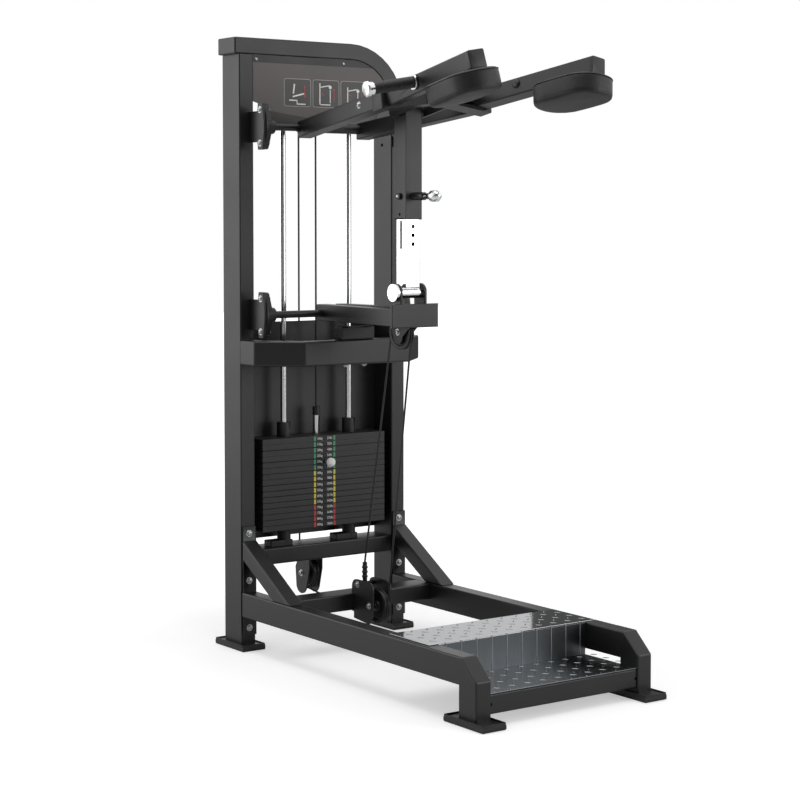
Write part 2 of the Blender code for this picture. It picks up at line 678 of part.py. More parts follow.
def make_lower_lever(paint):
    """Two arms that open towards the user, on the lower shaft, with ears for the post's pin."""
    rear = -SHAFT_REACH + LEVER_TAIL
    front = -LEVER_REACH + LEVER_FACE_THICKNESS / 2
    bottom = LOWER_SHAFT_Z + LEVER_RISE - LEVER_ARM_HEIGHT / 2
    shaft_half = HALF - BEARING_INSET - BEARING_PLATE_THICKNESS - GAP
    shapes = [cross_rod(-SHAFT_REACH, LOWER_SHAFT_Z, -shaft_half, shaft_half, SHAFT_RADIUS)]
    slope = (LEVER_TIP_HALF - LEVER_REAR_HALF) / (LEVER_REACH + rear)
    tip_half = LEVER_REAR_HALF + slope * (rear - front)
    ear_low = LEVER_FACE_BOTTOM + WALL
    half = EAR_WIDTH / 2
    ear = [(POST_PIN_Y - half, ear_low), (POST_PIN_Y + half, ear_low)]
    ear += arc((POST_PIN_Y, EAR_TOP - half), half, 0, 180, 12)
    pulley_y, pulley_z = LEVER_PULLEY
    cheek_back = pulley_y + LEVER_CHEEK_BACK
    cheek = [(front, LEVER_FACE_BOTTOM + WALL), (front, LEVER_FACE_BOTTOM + LEVER_CHEEK_FRONT_RISE)]
    cheek += [(cheek_back, LEVER_FACE_BOTTOM + LEVER_CHEEK_BACK_RISE), (cheek_back, pulley_z)]
    cheek += arc((pulley_y, pulley_z - LEVER_CHEEK_DROP), LEVER_CHEEK_RADIUS, 0, -180, 8)
    for side in SIDES.values():
        arm = [
            (side * LEVER_REAR_HALF, rear), (side * tip_half, front),
            (side * (tip_half - LEVER_ARM_WIDTH), front), (side * (LEVER_REAR_HALF - LEVER_ARM_WIDTH), rear),
        ]
        shapes.append(prism(arm, "Z", bottom, bottom + LEVER_ARM_HEIGHT))
        shapes.append(prism(ear, "X", *sided(side, EAR_INNER, EAR_INNER + EAR_THICKNESS)))
        shapes.append(prism(cheek, "X", *sided(side, LEVER_BRACKET_HALF - BRACKET_PLATE, LEVER_BRACKET_HALF)))
    half_face = LEVER_FACE_WIDTH / 2
    shapes.append(box(
        (-half_face, half_face),
        (-LEVER_REACH, -LEVER_REACH + LEVER_FACE_THICKNESS),
        (LEVER_FACE_BOTTOM, LEVER_FACE_BOTTOM + LEVER_FACE_HEIGHT),
    ))
    reach = LEVER_BRACKET_HALF - BRACKET_PLATE / 2
    shapes.append(cross_rod(pulley_y, pulley_z, -reach, reach, PULLEY_AXLE_RADIUS, 16))
    bore = cross_rod(POST_PIN_Y, POST_PIN_Z, -HALF, HALF, POST_PIN_RADIUS + GAP)
    solid("lower_lever", paint, shapes, [bore], (0, -SHAFT_REACH, LOWER_SHAFT_Z))


def make_post(paint, chrome, rubber):
    """The telescoping post: chrome inner tube, painted sleeve, pop pin and lower pivot pin."""
    inner_half = TUBE / 2
    bush_half = EAR_INNER - GAP * 3
    across = (-inner_half, inner_half)
    deep = (POST_CENTRE_Y - inner_half, POST_CENTRE_Y + inner_half)
    shapes = [box(across, deep, (INNER_POST_BOTTOM, INNER_POST_TOP))]
    shapes.append(cross_rod(POST_PIN_Y, POST_PIN_Z, -bush_half, bush_half, BUSH_RADIUS))
    cuts = [cross_rod(POST_PIN_Y, POST_PIN_Z, -HALF, HALF, POST_PIN_RADIUS + RUNNING)]
    wall_in = inner_half - WALL
    cuts.append(box(
        (-wall_in, wall_in),
        (POST_CENTRE_Y - wall_in, POST_CENTRE_Y + wall_in),
        (INNER_POST_BOTTOM + BUSH_RADIUS, INNER_POST_TOP + WALL),
    ))
    for k in range(3):
        z = POST_HOLE_TOP - k * POST_HOLE_PITCH
        start = (0, deep[0] - WALL, z)
        cuts.append(rod(start, (0, deep[0] + 2 * WALL, z), POST_HOLE_RADIUS, 16))
    solid("inner_post", chrome, shapes, cuts, (0, POST_PIN_Y, POST_PIN_Z))

    half = OUTER_POST_WIDTH / 2
    core = half - OUTER_POST_WALL
    front = POST_CENTRE_Y - half
    shapes = [box((-half, half), (front, front + OUTER_POST_WIDTH), (OUTER_POST_BOTTOM, OUTER_POST_TOP))]
    barrel_end = front - POP_BARREL_LENGTH
    shapes.append(rod((0, front + WALL / 2, POP_PIN_Z), (0, barrel_end, POP_PIN_Z), POP_BARREL_RADIUS))
    cuts = [box(
        (-core, core),
        (POST_CENTRE_Y - core, POST_CENTRE_Y + core),
        (OUTER_POST_BOTTOM - WALL, OUTER_POST_TOP - OUTER_POST_WALL),
    )]
    cuts.append(rod(
        (0, front + 2 * OUTER_POST_WALL, POP_PIN_Z), (0, barrel_end - WALL, POP_PIN_Z),
        POP_STEM_RADIUS + RUNNING,
    ))
    solid("outer_post", paint, shapes, cuts, (0, POST_CENTRE_Y, OUTER_POST_BOTTOM))

    knob = POP_KNOB_LENGTH
    neck = barrel_end - GAP - POP_KNOB_BACK
    tip = front + OUTER_POST_WALL - GAP
    profile = [(0, 0)]
    profile += [(knob * share, POP_KNOB_RADIUS * wide) for share, wide in POP_KNOB_SHARES]
    profile += [(knob + neck, POP_KNOB_RADIUS * POP_NECK_SHARE), (knob + neck, POP_STEM_RADIUS)]
    profile += [(tip - POP_KNOB_FRONT, POP_STEM_RADIUS)]
    knob_shape = turned(profile, (0, POP_KNOB_FRONT, POP_PIN_Z), (0, 1, 0))
    solid("pop_pin", rubber, [knob_shape], (), (0, POP_KNOB_FRONT, POP_PIN_Z))

    ear_face = EAR_INNER + EAR_THICKNESS + GAP
    profile = [(0, POST_PIN_CAP_RADIUS), (POST_PIN_CAP_LENGTH, POST_PIN_CAP_RADIUS)]
    nut = POST_PIN_CAP_LENGTH + 2 * ear_face
    profile += [(POST_PIN_CAP_LENGTH, POST_PIN_RADIUS), (nut, POST_PIN_RADIUS)]
    profile += [(nut, POST_PIN_NUT_RADIUS), (nut + POST_PIN_NUT_LENGTH, POST_PIN_NUT_RADIUS)]
    pin = turned(profile, (-ear_face - POST_PIN_CAP_LENGTH, POST_PIN_Y, POST_PIN_Z), (1, 0, 0))
    solid("lower_post_pin", chrome, [pin], (), (0, POST_PIN_Y, POST_PIN_Z))


def arm_matrix():
    """Places the left pad arm: x outwards, y forwards, z up, from its outer top front corner."""
    forward = Vector((
        -math.sin(ARM_SPLAY) * math.cos(ARM_TILT),
        -math.cos(ARM_SPLAY) * math.cos(ARM_TILT),
        math.sin(ARM_TILT),
    ))
    outward = Vector((-math.cos(ARM_SPLAY), math.sin(ARM_SPLAY), 0))
    roll = Matrix.Rotation(ARM_ROLL, 3, forward)
    outward = roll @ outward
    up = outward.cross(forward)
    matrix = Matrix((outward, forward, up)).transposed().to_4x4()
    return Matrix.Translation(ARM_END) @ matrix


def on_grip_line(outwards):
    """The point on the left grip's axis that lies so far outwards from the pad arm's side."""
    return arm_matrix() @ Vector((outwards, -GRIP_SETBACK, -GRIP_DROP))


def yoke_section(y, inset):
    """One yoke arm's section at y on the right, drawn in by an inset: outer low corner first."""
    rear, front = -SHAFT_REACH + YOKE_TAIL, -CROSS_END_FRONT + TUBE
    share = (rear - y) / (rear - front)
    outer = YOKE_REAR_HALF + (YOKE_FRONT_HALF - YOKE_REAR_HALF) * share - inset
    low = HEIGHT - YOKE_REAR_DROP + (YOKE_REAR_DROP - YOKE_FRONT_DROP) * share + inset
    across, tall = TUBE - 2 * inset, TUBE - 2 * inset
    corners = [(outer, low), (outer, low + tall), (outer - across, low + tall), (outer - across, low)]
    return [Vector((x, y, z)) for x, z in corners]


def cross_section(x):
    """The cross member's square section at x, lowest front corner first."""
    inward = CROSS_HALF - abs(x)
    front = -CROSS_END_FRONT - CROSS_SWEEP * inward
    low = CROSS_END_BOTTOM + CROSS_CLIMB * inward + math.tan(CROSS_TILT) * CROSS_SWEEP * inward
    back = (TUBE * math.cos(CROSS_TILT), -TUBE * math.sin(CROSS_TILT))
    up = (TUBE * math.sin(CROSS_TILT), TUBE * math.cos(CROSS_TILT))
    corners = [(0, 0), back, (back[0] + up[0], back[1] + up[1]), up]
    return [Vector((x, front + dy, low + dz)) for dy, dz in corners]


def make_yoke(paint):
    """The upper lever: two arms on the shaft, a cross member, and the splayed pad arms."""
    tail = -SHAFT_REACH + YOKE_TAIL
    cross_back = -CROSS_END_FRONT + TUBE
    reach = cross_back - EAR_PLATE_BITE
    shapes = [loft([cross_section(-CROSS_HALF), cross_section(0), cross_section(CROSS_HALF)])]
    cuts = []
    hub_half = YOKE_REAR_HALF + WALL
    place = arm_matrix()
    post_half = OUTER_POST_WIDTH / 2 + SLIDING
    ear_root = cross_section(EAR_PLATE_INNER)
    low, high = ear_root[0], ear_root[3]
    ear = arc((POST_PIN_Y, UPPER_PIN_Z), EAR_PLATE_RADIUS, -70, 90, 6)
    ear += [(high.y, high.z - WALL), (low.y, low.z + WALL)]
    for side in SIDES.values():
        arm = loft([yoke_section(tail, 0), yoke_section(reach, 0)])
        arm_hollow = loft([yoke_section(tail + PAST, WALL), yoke_section(cross_back, WALL)])
        shapes.append(prism(ear, "X", *sided(side, EAR_PLATE_INNER, EAR_PLATE_INNER + EAR_PLATE)))
        spacer = sided(side, post_half, EAR_PLATE_INNER + EAR_PLATE / 2)
        shapes.append(cross_rod(POST_PIN_Y, UPPER_PIN_Z, spacer[0], spacer[1], SPACER_RADIUS, 24))
        pad_arm = moved(box((-ARM_WIDTH, 0), (-ARM_LENGTH, 0), (-ARM_WIDTH, 0)), place)
        core_side = (-ARM_WIDTH + WALL, -WALL)
        pad_arm_hollow = moved(box(core_side, (-ARM_LENGTH + ARM_SOLID_END, WALL), core_side), place)
        bar_end = GRIP_STANDOFF + GRIP_LENGTH - GRIP_CAP_LENGTH - 2 * GAP
        bar = rod(on_grip_line(-WALL / 2), on_grip_line(bar_end), GRIP_BAR_RADIUS, 20)
        left_pieces, right_pieces = [pad_arm, bar], [arm]
        if side > 0:
            shapes += right_pieces + [mirrored(piece) for piece in left_pieces]
            cuts += [arm_hollow, mirrored(pad_arm_hollow)]
        else:
            shapes += left_pieces + [mirrored(piece) for piece in right_pieces]
            cuts += [mirrored(arm_hollow), pad_arm_hollow]
    shapes.append(cross_rod(-SHAFT_REACH, UPPER_SHAFT_Z, -hub_half, hub_half, YOKE_HUB_RADIUS))
    cuts.append(cross_rod(-SHAFT_REACH, UPPER_SHAFT_Z, -HALF, HALF, SHAFT_RADIUS + RUNNING))
    solid("yoke", paint, shapes, cuts, (0, -SHAFT_REACH, UPPER_SHAFT_Z))


def make_upper_shaft(steel):
    """The bar that the yoke swings on."""
    half = HALF - BEARING_INSET - BEARING_PLATE_THICKNESS - GAP
    bar = cross_rod(-SHAFT_REACH, UPPER_SHAFT_Z, -half, half, SHAFT_RADIUS)
    solid("upper_shaft", steel, [bar], (), (0, -SHAFT_REACH, UPPER_SHAFT_Z))


def pad_outline(inset):
    """The pad from above in the arm's frame, drawn in by an inset, outer rear corner first."""
    radius = PAD_END_RADIUS - inset
    outer = (PAD_WIDTH - ARM_WIDTH) / 2 - inset - radius
    inner = -(PAD_WIDTH + ARM_WIDTH) / 2 + inset + radius
    rear, front = -PAD_LENGTH + inset + radius, PAD_OVERHANG - inset - radius
    points = arc((outer, rear), radius, -90, 0, 8)
    points += arc((outer, front), radius, 0, 90, 8)
    points += arc((inner, front), radius, 90, 180, 8)
    points += arc((inner, rear), radius, 180, 270, 8)
    return points


def pad_shape():
    """A cushion under the arm: drawn in at its seam, full at its side, crowned below."""
    rings = []
    levels = [(PAD_SEAM_INSET, 0.0), (0.0, PAD_SEAM_SHARE)]
    for turn in (0, 30, 60, 90):
        inset = PAD_ROUND * (1 - math.cos(math.radians(turn)))
        levels.append((inset, 1 - PAD_ROUND_SHARE * (1 - math.sin(math.radians(turn)))))
    for inset, share in levels:
        ring = []
        for x, y in pad_outline(inset):
            ring.append(Vector((x, y, -ARM_WIDTH - GAP - share * (PAD_DEPTH - PAD_CROWN))))
        rings.append(ring)
    shape = loft(rings)
    many = [face for face in shape.faces if len(face.verts) > 4]
    last = min(many, key=lambda face: face.calc_center_median().z)
    middle = bmesh.ops.poke(shape, faces=[last])["verts"][0]
    middle.co.z -= PAD_CROWN
    bmesh.ops.recalc_face_normals(shape, faces=shape.faces)
    return moved(shape, arm_matrix())


def make_pads_and_grips(cushion, rubber):
    """A shoulder pad under each pad arm and a grip on the hand bar that stands out from its side."""
    start = on_grip_line(GRIP_STANDOFF)
    along = on_grip_line(1) - on_grip_line(0)
    cap = GRIP_LENGTH - GRIP_CAP_LENGTH
    collar = GRIP_COLLAR_LENGTH
    profile = [
        (0, GRIP_COLLAR_RADIUS), (collar, GRIP_COLLAR_RADIUS), (collar, GRIP_RADIUS),
        (cap, GRIP_RADIUS), (cap, GRIP_COLLAR_RADIUS), (GRIP_LENGTH, GRIP_COLLAR_RADIUS),
    ]
    for name, side in SIDES.items():
        pad = pad_shape()
        grip = turned(profile, start, along)
        bore = rod(start - along * collar, start + along * cap, GRIP_BAR_RADIUS + RUNNING)
        if side > 0:
            pad, grip, bore = mirrored(pad), mirrored(grip), mirrored(bore)
        solid(name + "_pad", cushion, [pad])
        solid(name + "_grip", rubber, [grip], [bore])


def beam_underside(x):
    """Height of the top beam's underside, which curves down on the right."""
    past = max(x - HALF + BEAM_BEND_RADIUS, 0)
    radius = BEAM_BEND_RADIUS - TUBE
    return HEIGHT - BEAM_BEND_RADIUS + math.sqrt(radius ** 2 - past ** 2)


def make_stack(iron, chrome, rubber):
    """Guide rods, cushions, sixteen plates, the selector stem and its pin."""
    half = PLATE_WIDTH / 2
    for name, side in SIDES.items():
        x = side * ROD_SPREAD
        bottom = STACK_CROSS_TOP + GAP
        top = beam_underside(x + ROD_RADIUS) - SLIDING
        solid(name + "_guide_rod", chrome, [rod((x, STACK_Y, bottom), (x, STACK_Y, top), ROD_RADIUS, 24)])
        cushion = rod((x, STACK_Y, bottom), (x, STACK_Y, STACK_BOTTOM - GAP), CUSHION_RADIUS, 24)
        bore = rod((x, STACK_Y, 0), (x, STACK_Y, HEIGHT), ROD_RADIUS + RUNNING, 24)
        solid(name + "_stack_cushion", rubber, [cushion], [bore])
    for number in range(1, PLATE_COUNT + 1):
        top = STACK_TOP - (number - 1) * PLATE_PITCH
        bottom = top - PLATE_PITCH + PLATE_SPACE
        middle = (top + bottom) / 2
        shapes = [box((-half, half), (0, PLATE_DEPTH), (bottom, top))]
        cuts = [rod((0, STACK_Y, bottom - WALL), (0, STACK_Y, top + WALL), STEM_RADIUS + SLIDING, 12)]
        for side in SIDES.values():
            x = side * ROD_SPREAD
            if number == 1:
                shapes.append(rod((x, STACK_Y, middle), (x, STACK_Y, COLLAR_TOP), COLLAR_RADIUS, 20))
            cuts.append(rod((x, STACK_Y, 0), (x, STACK_Y, HEIGHT), ROD_RADIUS + SLIDING, 12))
        cuts.append(rod((0, -WALL, middle), (0, STACK_Y, middle), SELECTOR_RADIUS + SLIDING, 8))
        name = "head_plate" if number == 1 else "weight_plate_%02d" % number
        solid(name, iron, shapes, cuts)
    bottom = STACK_BOTTOM + PLATE_PITCH / 2
    profile = [(0, STEM_RADIUS), (STEM_TOP - bottom, STEM_RADIUS), (STEM_TOP - bottom, FITTING_RADIUS)]
    profile += [(FITTING_TOP - bottom, FITTING_RADIUS)]
    solid("selector_stem", chrome, [turned(profile, (0, STACK_Y, bottom), (0, 0, 1), 24)])

    z = STACK_TOP - (SELECTED_PLATE - 0.5) * PLATE_PITCH + PLATE_SPACE / 2
    tip = STACK_Y - STEM_RADIUS - GAP
    ball = SELECTOR_BALL_RADIUS
    start = SELECTOR_BALL_Y - ball
    profile = [(0, 0)]
    for k in range(1, 9):
        angle = math.pi * k / 9
        profile.append((ball - ball * math.cos(angle), ball * math.sin(angle)))
    profile += [(profile[-1][0], SELECTOR_RADIUS), (tip - start, SELECTOR_RADIUS)]
    pin = turned(profile, (0, start, z), (0, 1, 0), 14)
    solid("selector_pin", rubber, [pin], (), (0, start, z))


def make_panels(sheet, card):
    """The shroud behind the stack and the placard under the top beam."""
    inner = INNER - GAP
    shroud = box(
        (-inner, inner),
        (UPRIGHT_DEPTH - SHROUD_THICKNESS, UPRIGHT_DEPTH),
        (SHROUD_BOTTOM, SHROUD_TOP),
    )
    solid("rear_shroud", sheet, [shroud])
    centre = (HALF - BEAM_BEND_RADIUS, HEIGHT - BEAM_BEND_RADIUS)
    radius = (BEAM_BEND_RADIUS - TUBE) * math.cos(math.pi / (4 * BEND_STEPS)) - GAP
    side_bottom = HEIGHT - PLACARD_SIDE_DROP
    lowest = math.degrees(math.asin((side_bottom - centre[1]) / radius))
    outline = [(-inner, side_bottom), (-inner, BEAM_BOTTOM - GAP)]
    outline += arc(centre, radius, 90, lowest, BEND_STEPS)
    edge = [(x, HEIGHT - drop) for x, drop in (PLACARD_SHOULDER, PLACARD_KNEE)]
    outline += edge + [(0, HEIGHT - PLACARD_LOWEST_DROP)] + [(-x, z) for x, z in reversed(edge)]
    solid("placard", card, [prism(outline, "Y", 0, PLACARD_THICKNESS)])


def make_pulleys(plastic):
    """Four grooved wheels, each bored for its axle."""
    groove = CABLE_LINE_RADIUS - CABLE_RADIUS - GROOVE_ROOM
    rim = CABLE_LINE_RADIUS + CABLE_RADIUS - RUNNING
    wide = PULLEY_WIDTH / 2
    slot = CABLE_RADIUS + SLIDING
    brackets = {
        "base_pulley": (BASE_PULLEY, BASE_BRACKET_HALF), "rear_pulley": (REAR_PULLEY, REAR_BRACKET_HALF),
        "top_pulley": (TOP_PULLEY, REAR_BRACKET_HALF), "lever_pulley": (LEVER_PULLEY, LEVER_BRACKET_HALF),
    }
    for name, ((y, z), half) in brackets.items():
        hub = half - BRACKET_PLATE - RUNNING
        hub_radius = 2 * PULLEY_AXLE_RADIUS
        disc = [(0, hub_radius), (hub - wide, hub_radius)] if hub > wide else []
        start = -hub if hub > wide else -wide
        base = -start - wide
        disc += [
            (base, rim), (base + wide - slot, rim), (base + wide - slot, groove), (base + wide + slot, groove),
            (base + wide + slot, rim), (base + 2 * wide, rim),
        ]
        if hub > wide:
            disc += [(base + 2 * wide, hub_radius), (2 * hub, hub_radius)]
        wheel = turned(disc, (start, y, z), (1, 0, 0), WHEEL_STEPS)
        bore = cross_rod(y, z, -HALF, HALF, PULLEY_AXLE_RADIUS + RUNNING, 16)
        solid(name, plastic, [wheel], [bore], (0, y, z))


def tangent_angle(first, second):
    """Direction in degrees from one pulley's centre to another's, in the Y-Z plane."""
    return math.degrees(math.atan2(second[1] - first[1], second[0] - first[0]))


def make_cable(black):
    """One cable: anchor, over the lever pulley, under the base and rear ones, up and over to the stack."""
    r = CABLE_LINE_RADIUS
    start = (ANCHOR_Y, ANCHOR_TOP + GAP + CABLE_RADIUS / 5)
    dy, dz = start[0] - LEVER_PULLEY[0], start[1] - LEVER_PULLEY[1]
    first = math.degrees(math.atan2(dz, dy)) + math.degrees(math.acos(r / math.hypot(dy, dz)))
    down = tangent_angle(LEVER_PULLEY, BASE_PULLEY) - 90
    back = tangent_angle(BASE_PULLEY, REAR_PULLEY) - 90
    steps = PULLEY_WRAP_STEPS
    route = [start]
    route += arc(LEVER_PULLEY, r, first, 360 + down, steps)
    route += arc(BASE_PULLEY, r, 360 + down, 360 + back, steps)
    route += arc(REAR_PULLEY, r, back, 0, steps)
    route += arc(TOP_PULLEY, r, 0, 180, steps + 4)
    route.append((TOP_PULLEY[0] - r, FITTING_TOP + GAP))
    curve = bpy.data.curves.new("cable", "CURVE")
    curve.dimensions = "3D"
    curve.bevel_depth = CABLE_RADIUS
    curve.bevel_resolution = 2
    curve.use_fill_caps = True
    spline = curve.splines.new("POLY")
    spline.points.add(len(route) - 1)
    for point, (y, z) in zip(spline.points, route):
        point.co = (0, y + CENTRE_Y, z, 1)
    curve.materials.append(black)
    bpy.context.scene.collection.objects.link(bpy.data.objects.new("cable", curve))


def main():
    for old in list(bpy.data.objects):
        bpy.data.objects.remove(old)
    paint = material("satin_black_paint", (0.045, 0.045, 0.047), 0.42, 0.2)
    iron = material("dark_plate", (0.035, 0.035, 0.037), 0.5, 0.3)
    chrome = material("chrome", (0.80, 0.80, 0.82), 0.12, 1.0)
    tread = material("ribbed_steel", (0.30, 0.31, 0.32), 0.40, 0.9)
    rubber = material("black_rubber", (0.02, 0.02, 0.02), 0.7, 0.0)
    cushion = material("pad_vinyl", (0.05, 0.05, 0.052), 0.55, 0.0)
    card = material("placard_grey", (0.10, 0.095, 0.095), 0.5, 0.0)
    plastic = material("pulley_plastic", (0.03, 0.03, 0.03), 0.45, 0.0)
    make_uprights(paint)
    make_top_beam(paint)
    make_base(paint)
    make_cross_tubes(paint)
    make_step(tread, tread)
    make_guard(paint, rubber)
    make_bearings(paint)
    make_lower_lever(paint)
    make_post(paint, chrome, rubber)
    make_yoke(paint)
    make_upper_shaft(chrome)
    make_pads_and_grips(cushion, rubber)
    make_stack(iron, chrome, rubber)
    make_panels(iron, card)
    make_pulleys(plastic)
    make_cable(rubber)


main()
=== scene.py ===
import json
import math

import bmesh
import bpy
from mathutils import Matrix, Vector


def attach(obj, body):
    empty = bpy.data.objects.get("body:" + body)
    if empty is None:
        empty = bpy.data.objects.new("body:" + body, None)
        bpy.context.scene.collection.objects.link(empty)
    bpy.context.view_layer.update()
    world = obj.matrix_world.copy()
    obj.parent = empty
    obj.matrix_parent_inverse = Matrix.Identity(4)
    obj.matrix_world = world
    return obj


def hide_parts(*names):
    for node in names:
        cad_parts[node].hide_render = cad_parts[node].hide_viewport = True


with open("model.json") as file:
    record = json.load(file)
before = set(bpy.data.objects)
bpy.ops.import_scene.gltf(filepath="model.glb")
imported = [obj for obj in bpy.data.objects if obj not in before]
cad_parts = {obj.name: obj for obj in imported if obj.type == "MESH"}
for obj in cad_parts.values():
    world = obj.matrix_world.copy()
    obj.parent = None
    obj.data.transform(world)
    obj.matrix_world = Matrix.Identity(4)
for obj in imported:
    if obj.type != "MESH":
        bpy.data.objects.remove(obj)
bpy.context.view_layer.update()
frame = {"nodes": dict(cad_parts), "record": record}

# %% [markdown]
# # A standing calf raise machine
# The machine's solids are already in the scene. They come from the part's own CAD model, in metres, with
# the floor at z = 0, the user's side towards -Y and the machine's middle at x = 0. Each lesson takes a few
# of those solids and makes what a person would see in their place, or gives them a real finish. The
# finished model has to fill the same one.

# %% [markdown]
# ## The camera
# The picture to match was taken from the machine's front left, from about chest height and six metres
# away, with a fairly long lens. Upright tubes stay upright in it, so the camera hardly looks down, and its
# picture is shifted instead, as an architect's lens does. Place, lens and turn were worked out from the
# frame's own corners.

# %% The camera
PHOTO_WIDTH = 800
FOCAL_PIXELS = 1973.8
CAMERA_PLACE = (-3.358, -4.574, 1.297)
CAMERA_DOWN, CAMERA_TURN = math.radians(3.25), math.radians(35.543)
camera_data = bpy.data.cameras.new("camera")
camera_data.sensor_width = 36.0
camera_data.lens = FOCAL_PIXELS / PHOTO_WIDTH * camera_data.sensor_width
camera_data.shift_y = -0.0795
camera = bpy.data.objects.new("camera", camera_data)
bpy.context.collection.objects.link(camera)
camera.location = CAMERA_PLACE
camera.rotation_euler = (math.pi / 2 - CAMERA_DOWN, 0, -CAMERA_TURN)
bpy.context.scene.camera = camera
print("lens", round(camera_data.lens, 1), "mm")

# %% [markdown]
# ## Nodes and colours
# Every finish in this scene is a small tree of shader nodes. One function adds a node with its settings
# and its links, a second turns a designer's hex colour into the linear numbers that light works with, and
# a third mixes two colours. A colour such as #808080 looks half as bright as white, but sends back only a
# fifth of the light.

# %% Helpers for every finish
def blend(tree, factor, first=None, second="#000000", under=None):
    """Mixes two hex colours by a factor; under is a colour socket in the first one's place."""
    ends = {"data_type": "RGBA", 7: linear(second)}
    if first:
        ends[6] = linear(first)
    links = {0: factor, 6: under} if under else {0: factor}
    return add_node(tree, "Mix", ends, links).outputs[2]


def linear(hex_code, shade=1.0):
    """A hex colour, times shade, as the four linear numbers of a colour socket."""
    values = [int(hex_code[i:i + 2], 16) / 255 for i in (1, 3, 5)]
    values = [v / 12.92 if v <= 0.04045 else ((v + 0.055) / 1.055) ** 2.4 for v in values]
    return tuple(min(1.0, shade * v) for v in values) + (1.0,)


def add_node(tree, kind, settings=None, links=None):
    """Adds a node: settings go to its attributes or input sockets, links join other sockets to it."""
    node = tree.nodes.new("ShaderNode" + kind)
    for key, value in (settings or {}).items():
        if isinstance(key, str) and hasattr(node, key):
            setattr(node, key, value)
        else:
            node.inputs[key].default_value = value
    for key, source in (links or {}).items():
        tree.links.new(source, node.inputs[key])
    return node


def empty_tree(owner):
    """Turns on the nodes of a material or a world and clears them."""
    owner.use_nodes = True
    owner.node_tree.nodes.clear()
    return owner.node_tree


print("#808080 is", round(linear("#808080")[0], 3), "in linear light")

# %% [markdown]
# ## The floor
# The floor is a matt white sheet, like a studio's paper roll. The camera sees a little light of the
# sheet's own, more of it further out, so that it ends in plain white, while the soft shadow round the feet
# stays.

# %% The floor sheet
SHEET_SIZE = 40.0
NEAR, FAR = 1.0, 4.5
NEAR_LIFT, FAR_LIFT = 0.45, 0.95

floor_paper = bpy.data.materials.new("floor_paper")
tree = empty_tree(floor_paper)
place = add_node(tree, "TexCoord").outputs["Object"]
distance = add_node(tree, "VectorMath", {"operation": "LENGTH"}, {0: place})
growing = add_node(tree, "MapRange", {"From Min": NEAR, "From Max": FAR, "To Min": NEAR_LIFT,
                                      "To Max": FAR_LIFT}, {"Value": distance.outputs["Value"]})
path = add_node(tree, "LightPath")
own_light = add_node(tree, "Math", {"operation": "MULTIPLY"},
                     {0: path.outputs["Is Camera Ray"], 1: growing.outputs[0]})
paper = add_node(tree, "BsdfDiffuse", {"Color": linear("#ececec")})
lift = add_node(tree, "Emission", {}, {"Strength": own_light.outputs[0]})
both = add_node(tree, "AddShader", {}, {0: paper.outputs[0], 1: lift.outputs[0]})
add_node(tree, "OutputMaterial", {}, {"Surface": both.outputs[0]})

bpy.ops.mesh.primitive_plane_add(size=SHEET_SIZE, location=(0, 0, 0))
floor = bpy.context.object
floor.name = "floor"
floor.data.materials.append(floor_paper)
print("floor sheet", SHEET_SIZE, "m square")

# %% [markdown]
# ## The light
# Black paint shows its shape almost only by what it mirrors. In the picture the left sides are palest, the
# fronts are darker, and the faces that look straight at the camera are nearly black, so the room is
# bright behind the machine and at its sides and dark round the photographer. The world does that: it is
# white, except for a soft dark patch in the camera's own direction that only reflections see. Three large
# soft boxes give the rest.

# %% The room and the soft boxes
TO_CAMERA = Vector((-0.581, -0.813, 0.05)).normalized()
PATCH_EDGE, PATCH_HEART = 0.35, 0.92
AMBIENT = 0.42
DARK_PATCH = 0.12

world = bpy.data.worlds.new("studio_room")
bpy.context.scene.world = world
tree = empty_tree(world)
direction = add_node(tree, "TexCoord").outputs["Generated"]
facing = add_node(tree, "VectorMath", {"operation": "DOT_PRODUCT", 1: TO_CAMERA}, {0: direction})
patch = add_node(tree, "MapRange", {"interpolation_type": "SMOOTHSTEP", "From Min": PATCH_EDGE,
                                    "From Max": PATCH_HEART, "To Min": 1.0, "To Max": DARK_PATCH},
                 {"Value": facing.outputs["Value"]})
path = add_node(tree, "LightPath")
mirrored = add_node(tree, "Mix", {"data_type": "FLOAT", 2: AMBIENT},
                    {0: path.outputs["Is Glossy Ray"], 3: patch.outputs[0]})
plain = add_node(tree, "Math", {"operation": "MAXIMUM"},
                 {0: path.outputs["Is Camera Ray"], 1: path.outputs["Is Transmission Ray"]})
strength = add_node(tree, "Mix", {"data_type": "FLOAT", 3: 1.0},
                    {0: plain.outputs[0], 2: mirrored.outputs[0]})
room = add_node(tree, "Background", {"Color": (1, 1, 1, 1)}, {"Strength": strength.outputs[0]})
add_node(tree, "OutputWorld", {}, {"Surface": room.outputs[0]})

AIM = Vector((0, 0, 0.95))
BOXES = (("left_box", (-3.6, 3.4, 1.4), 3.2, 50), ("front_box", (3.0, -4.4, 1.8), 2.6, 52),
         ("top_box", (-0.4, -0.2, 4.6), 2.6, 62))
for name, place, size, power in BOXES:
    lamp = bpy.data.lights.new(name, "AREA")
    lamp.shape = "RECTANGLE"
    lamp.size = lamp.size_y = size
    lamp.energy = power
    holder = bpy.data.objects.new(name, lamp)
    bpy.context.collection.objects.link(holder)
    holder.location = place
    holder.rotation_euler = (AIM - Vector(place)).to_track_quat("-Z", "Y").to_euler()
bpy.context.scene.view_settings.view_transform = "Standard"

# %% [markdown]
# ## A dark card
# The step's top is nearly a mirror, and in the picture it turns from pale to dark at a sharp upright line.
# So something dark stands behind the machine's right half. Here it is a card that only shiny things see.
# Its left edge lies in the upright plane through the camera and the picture's column of that line.

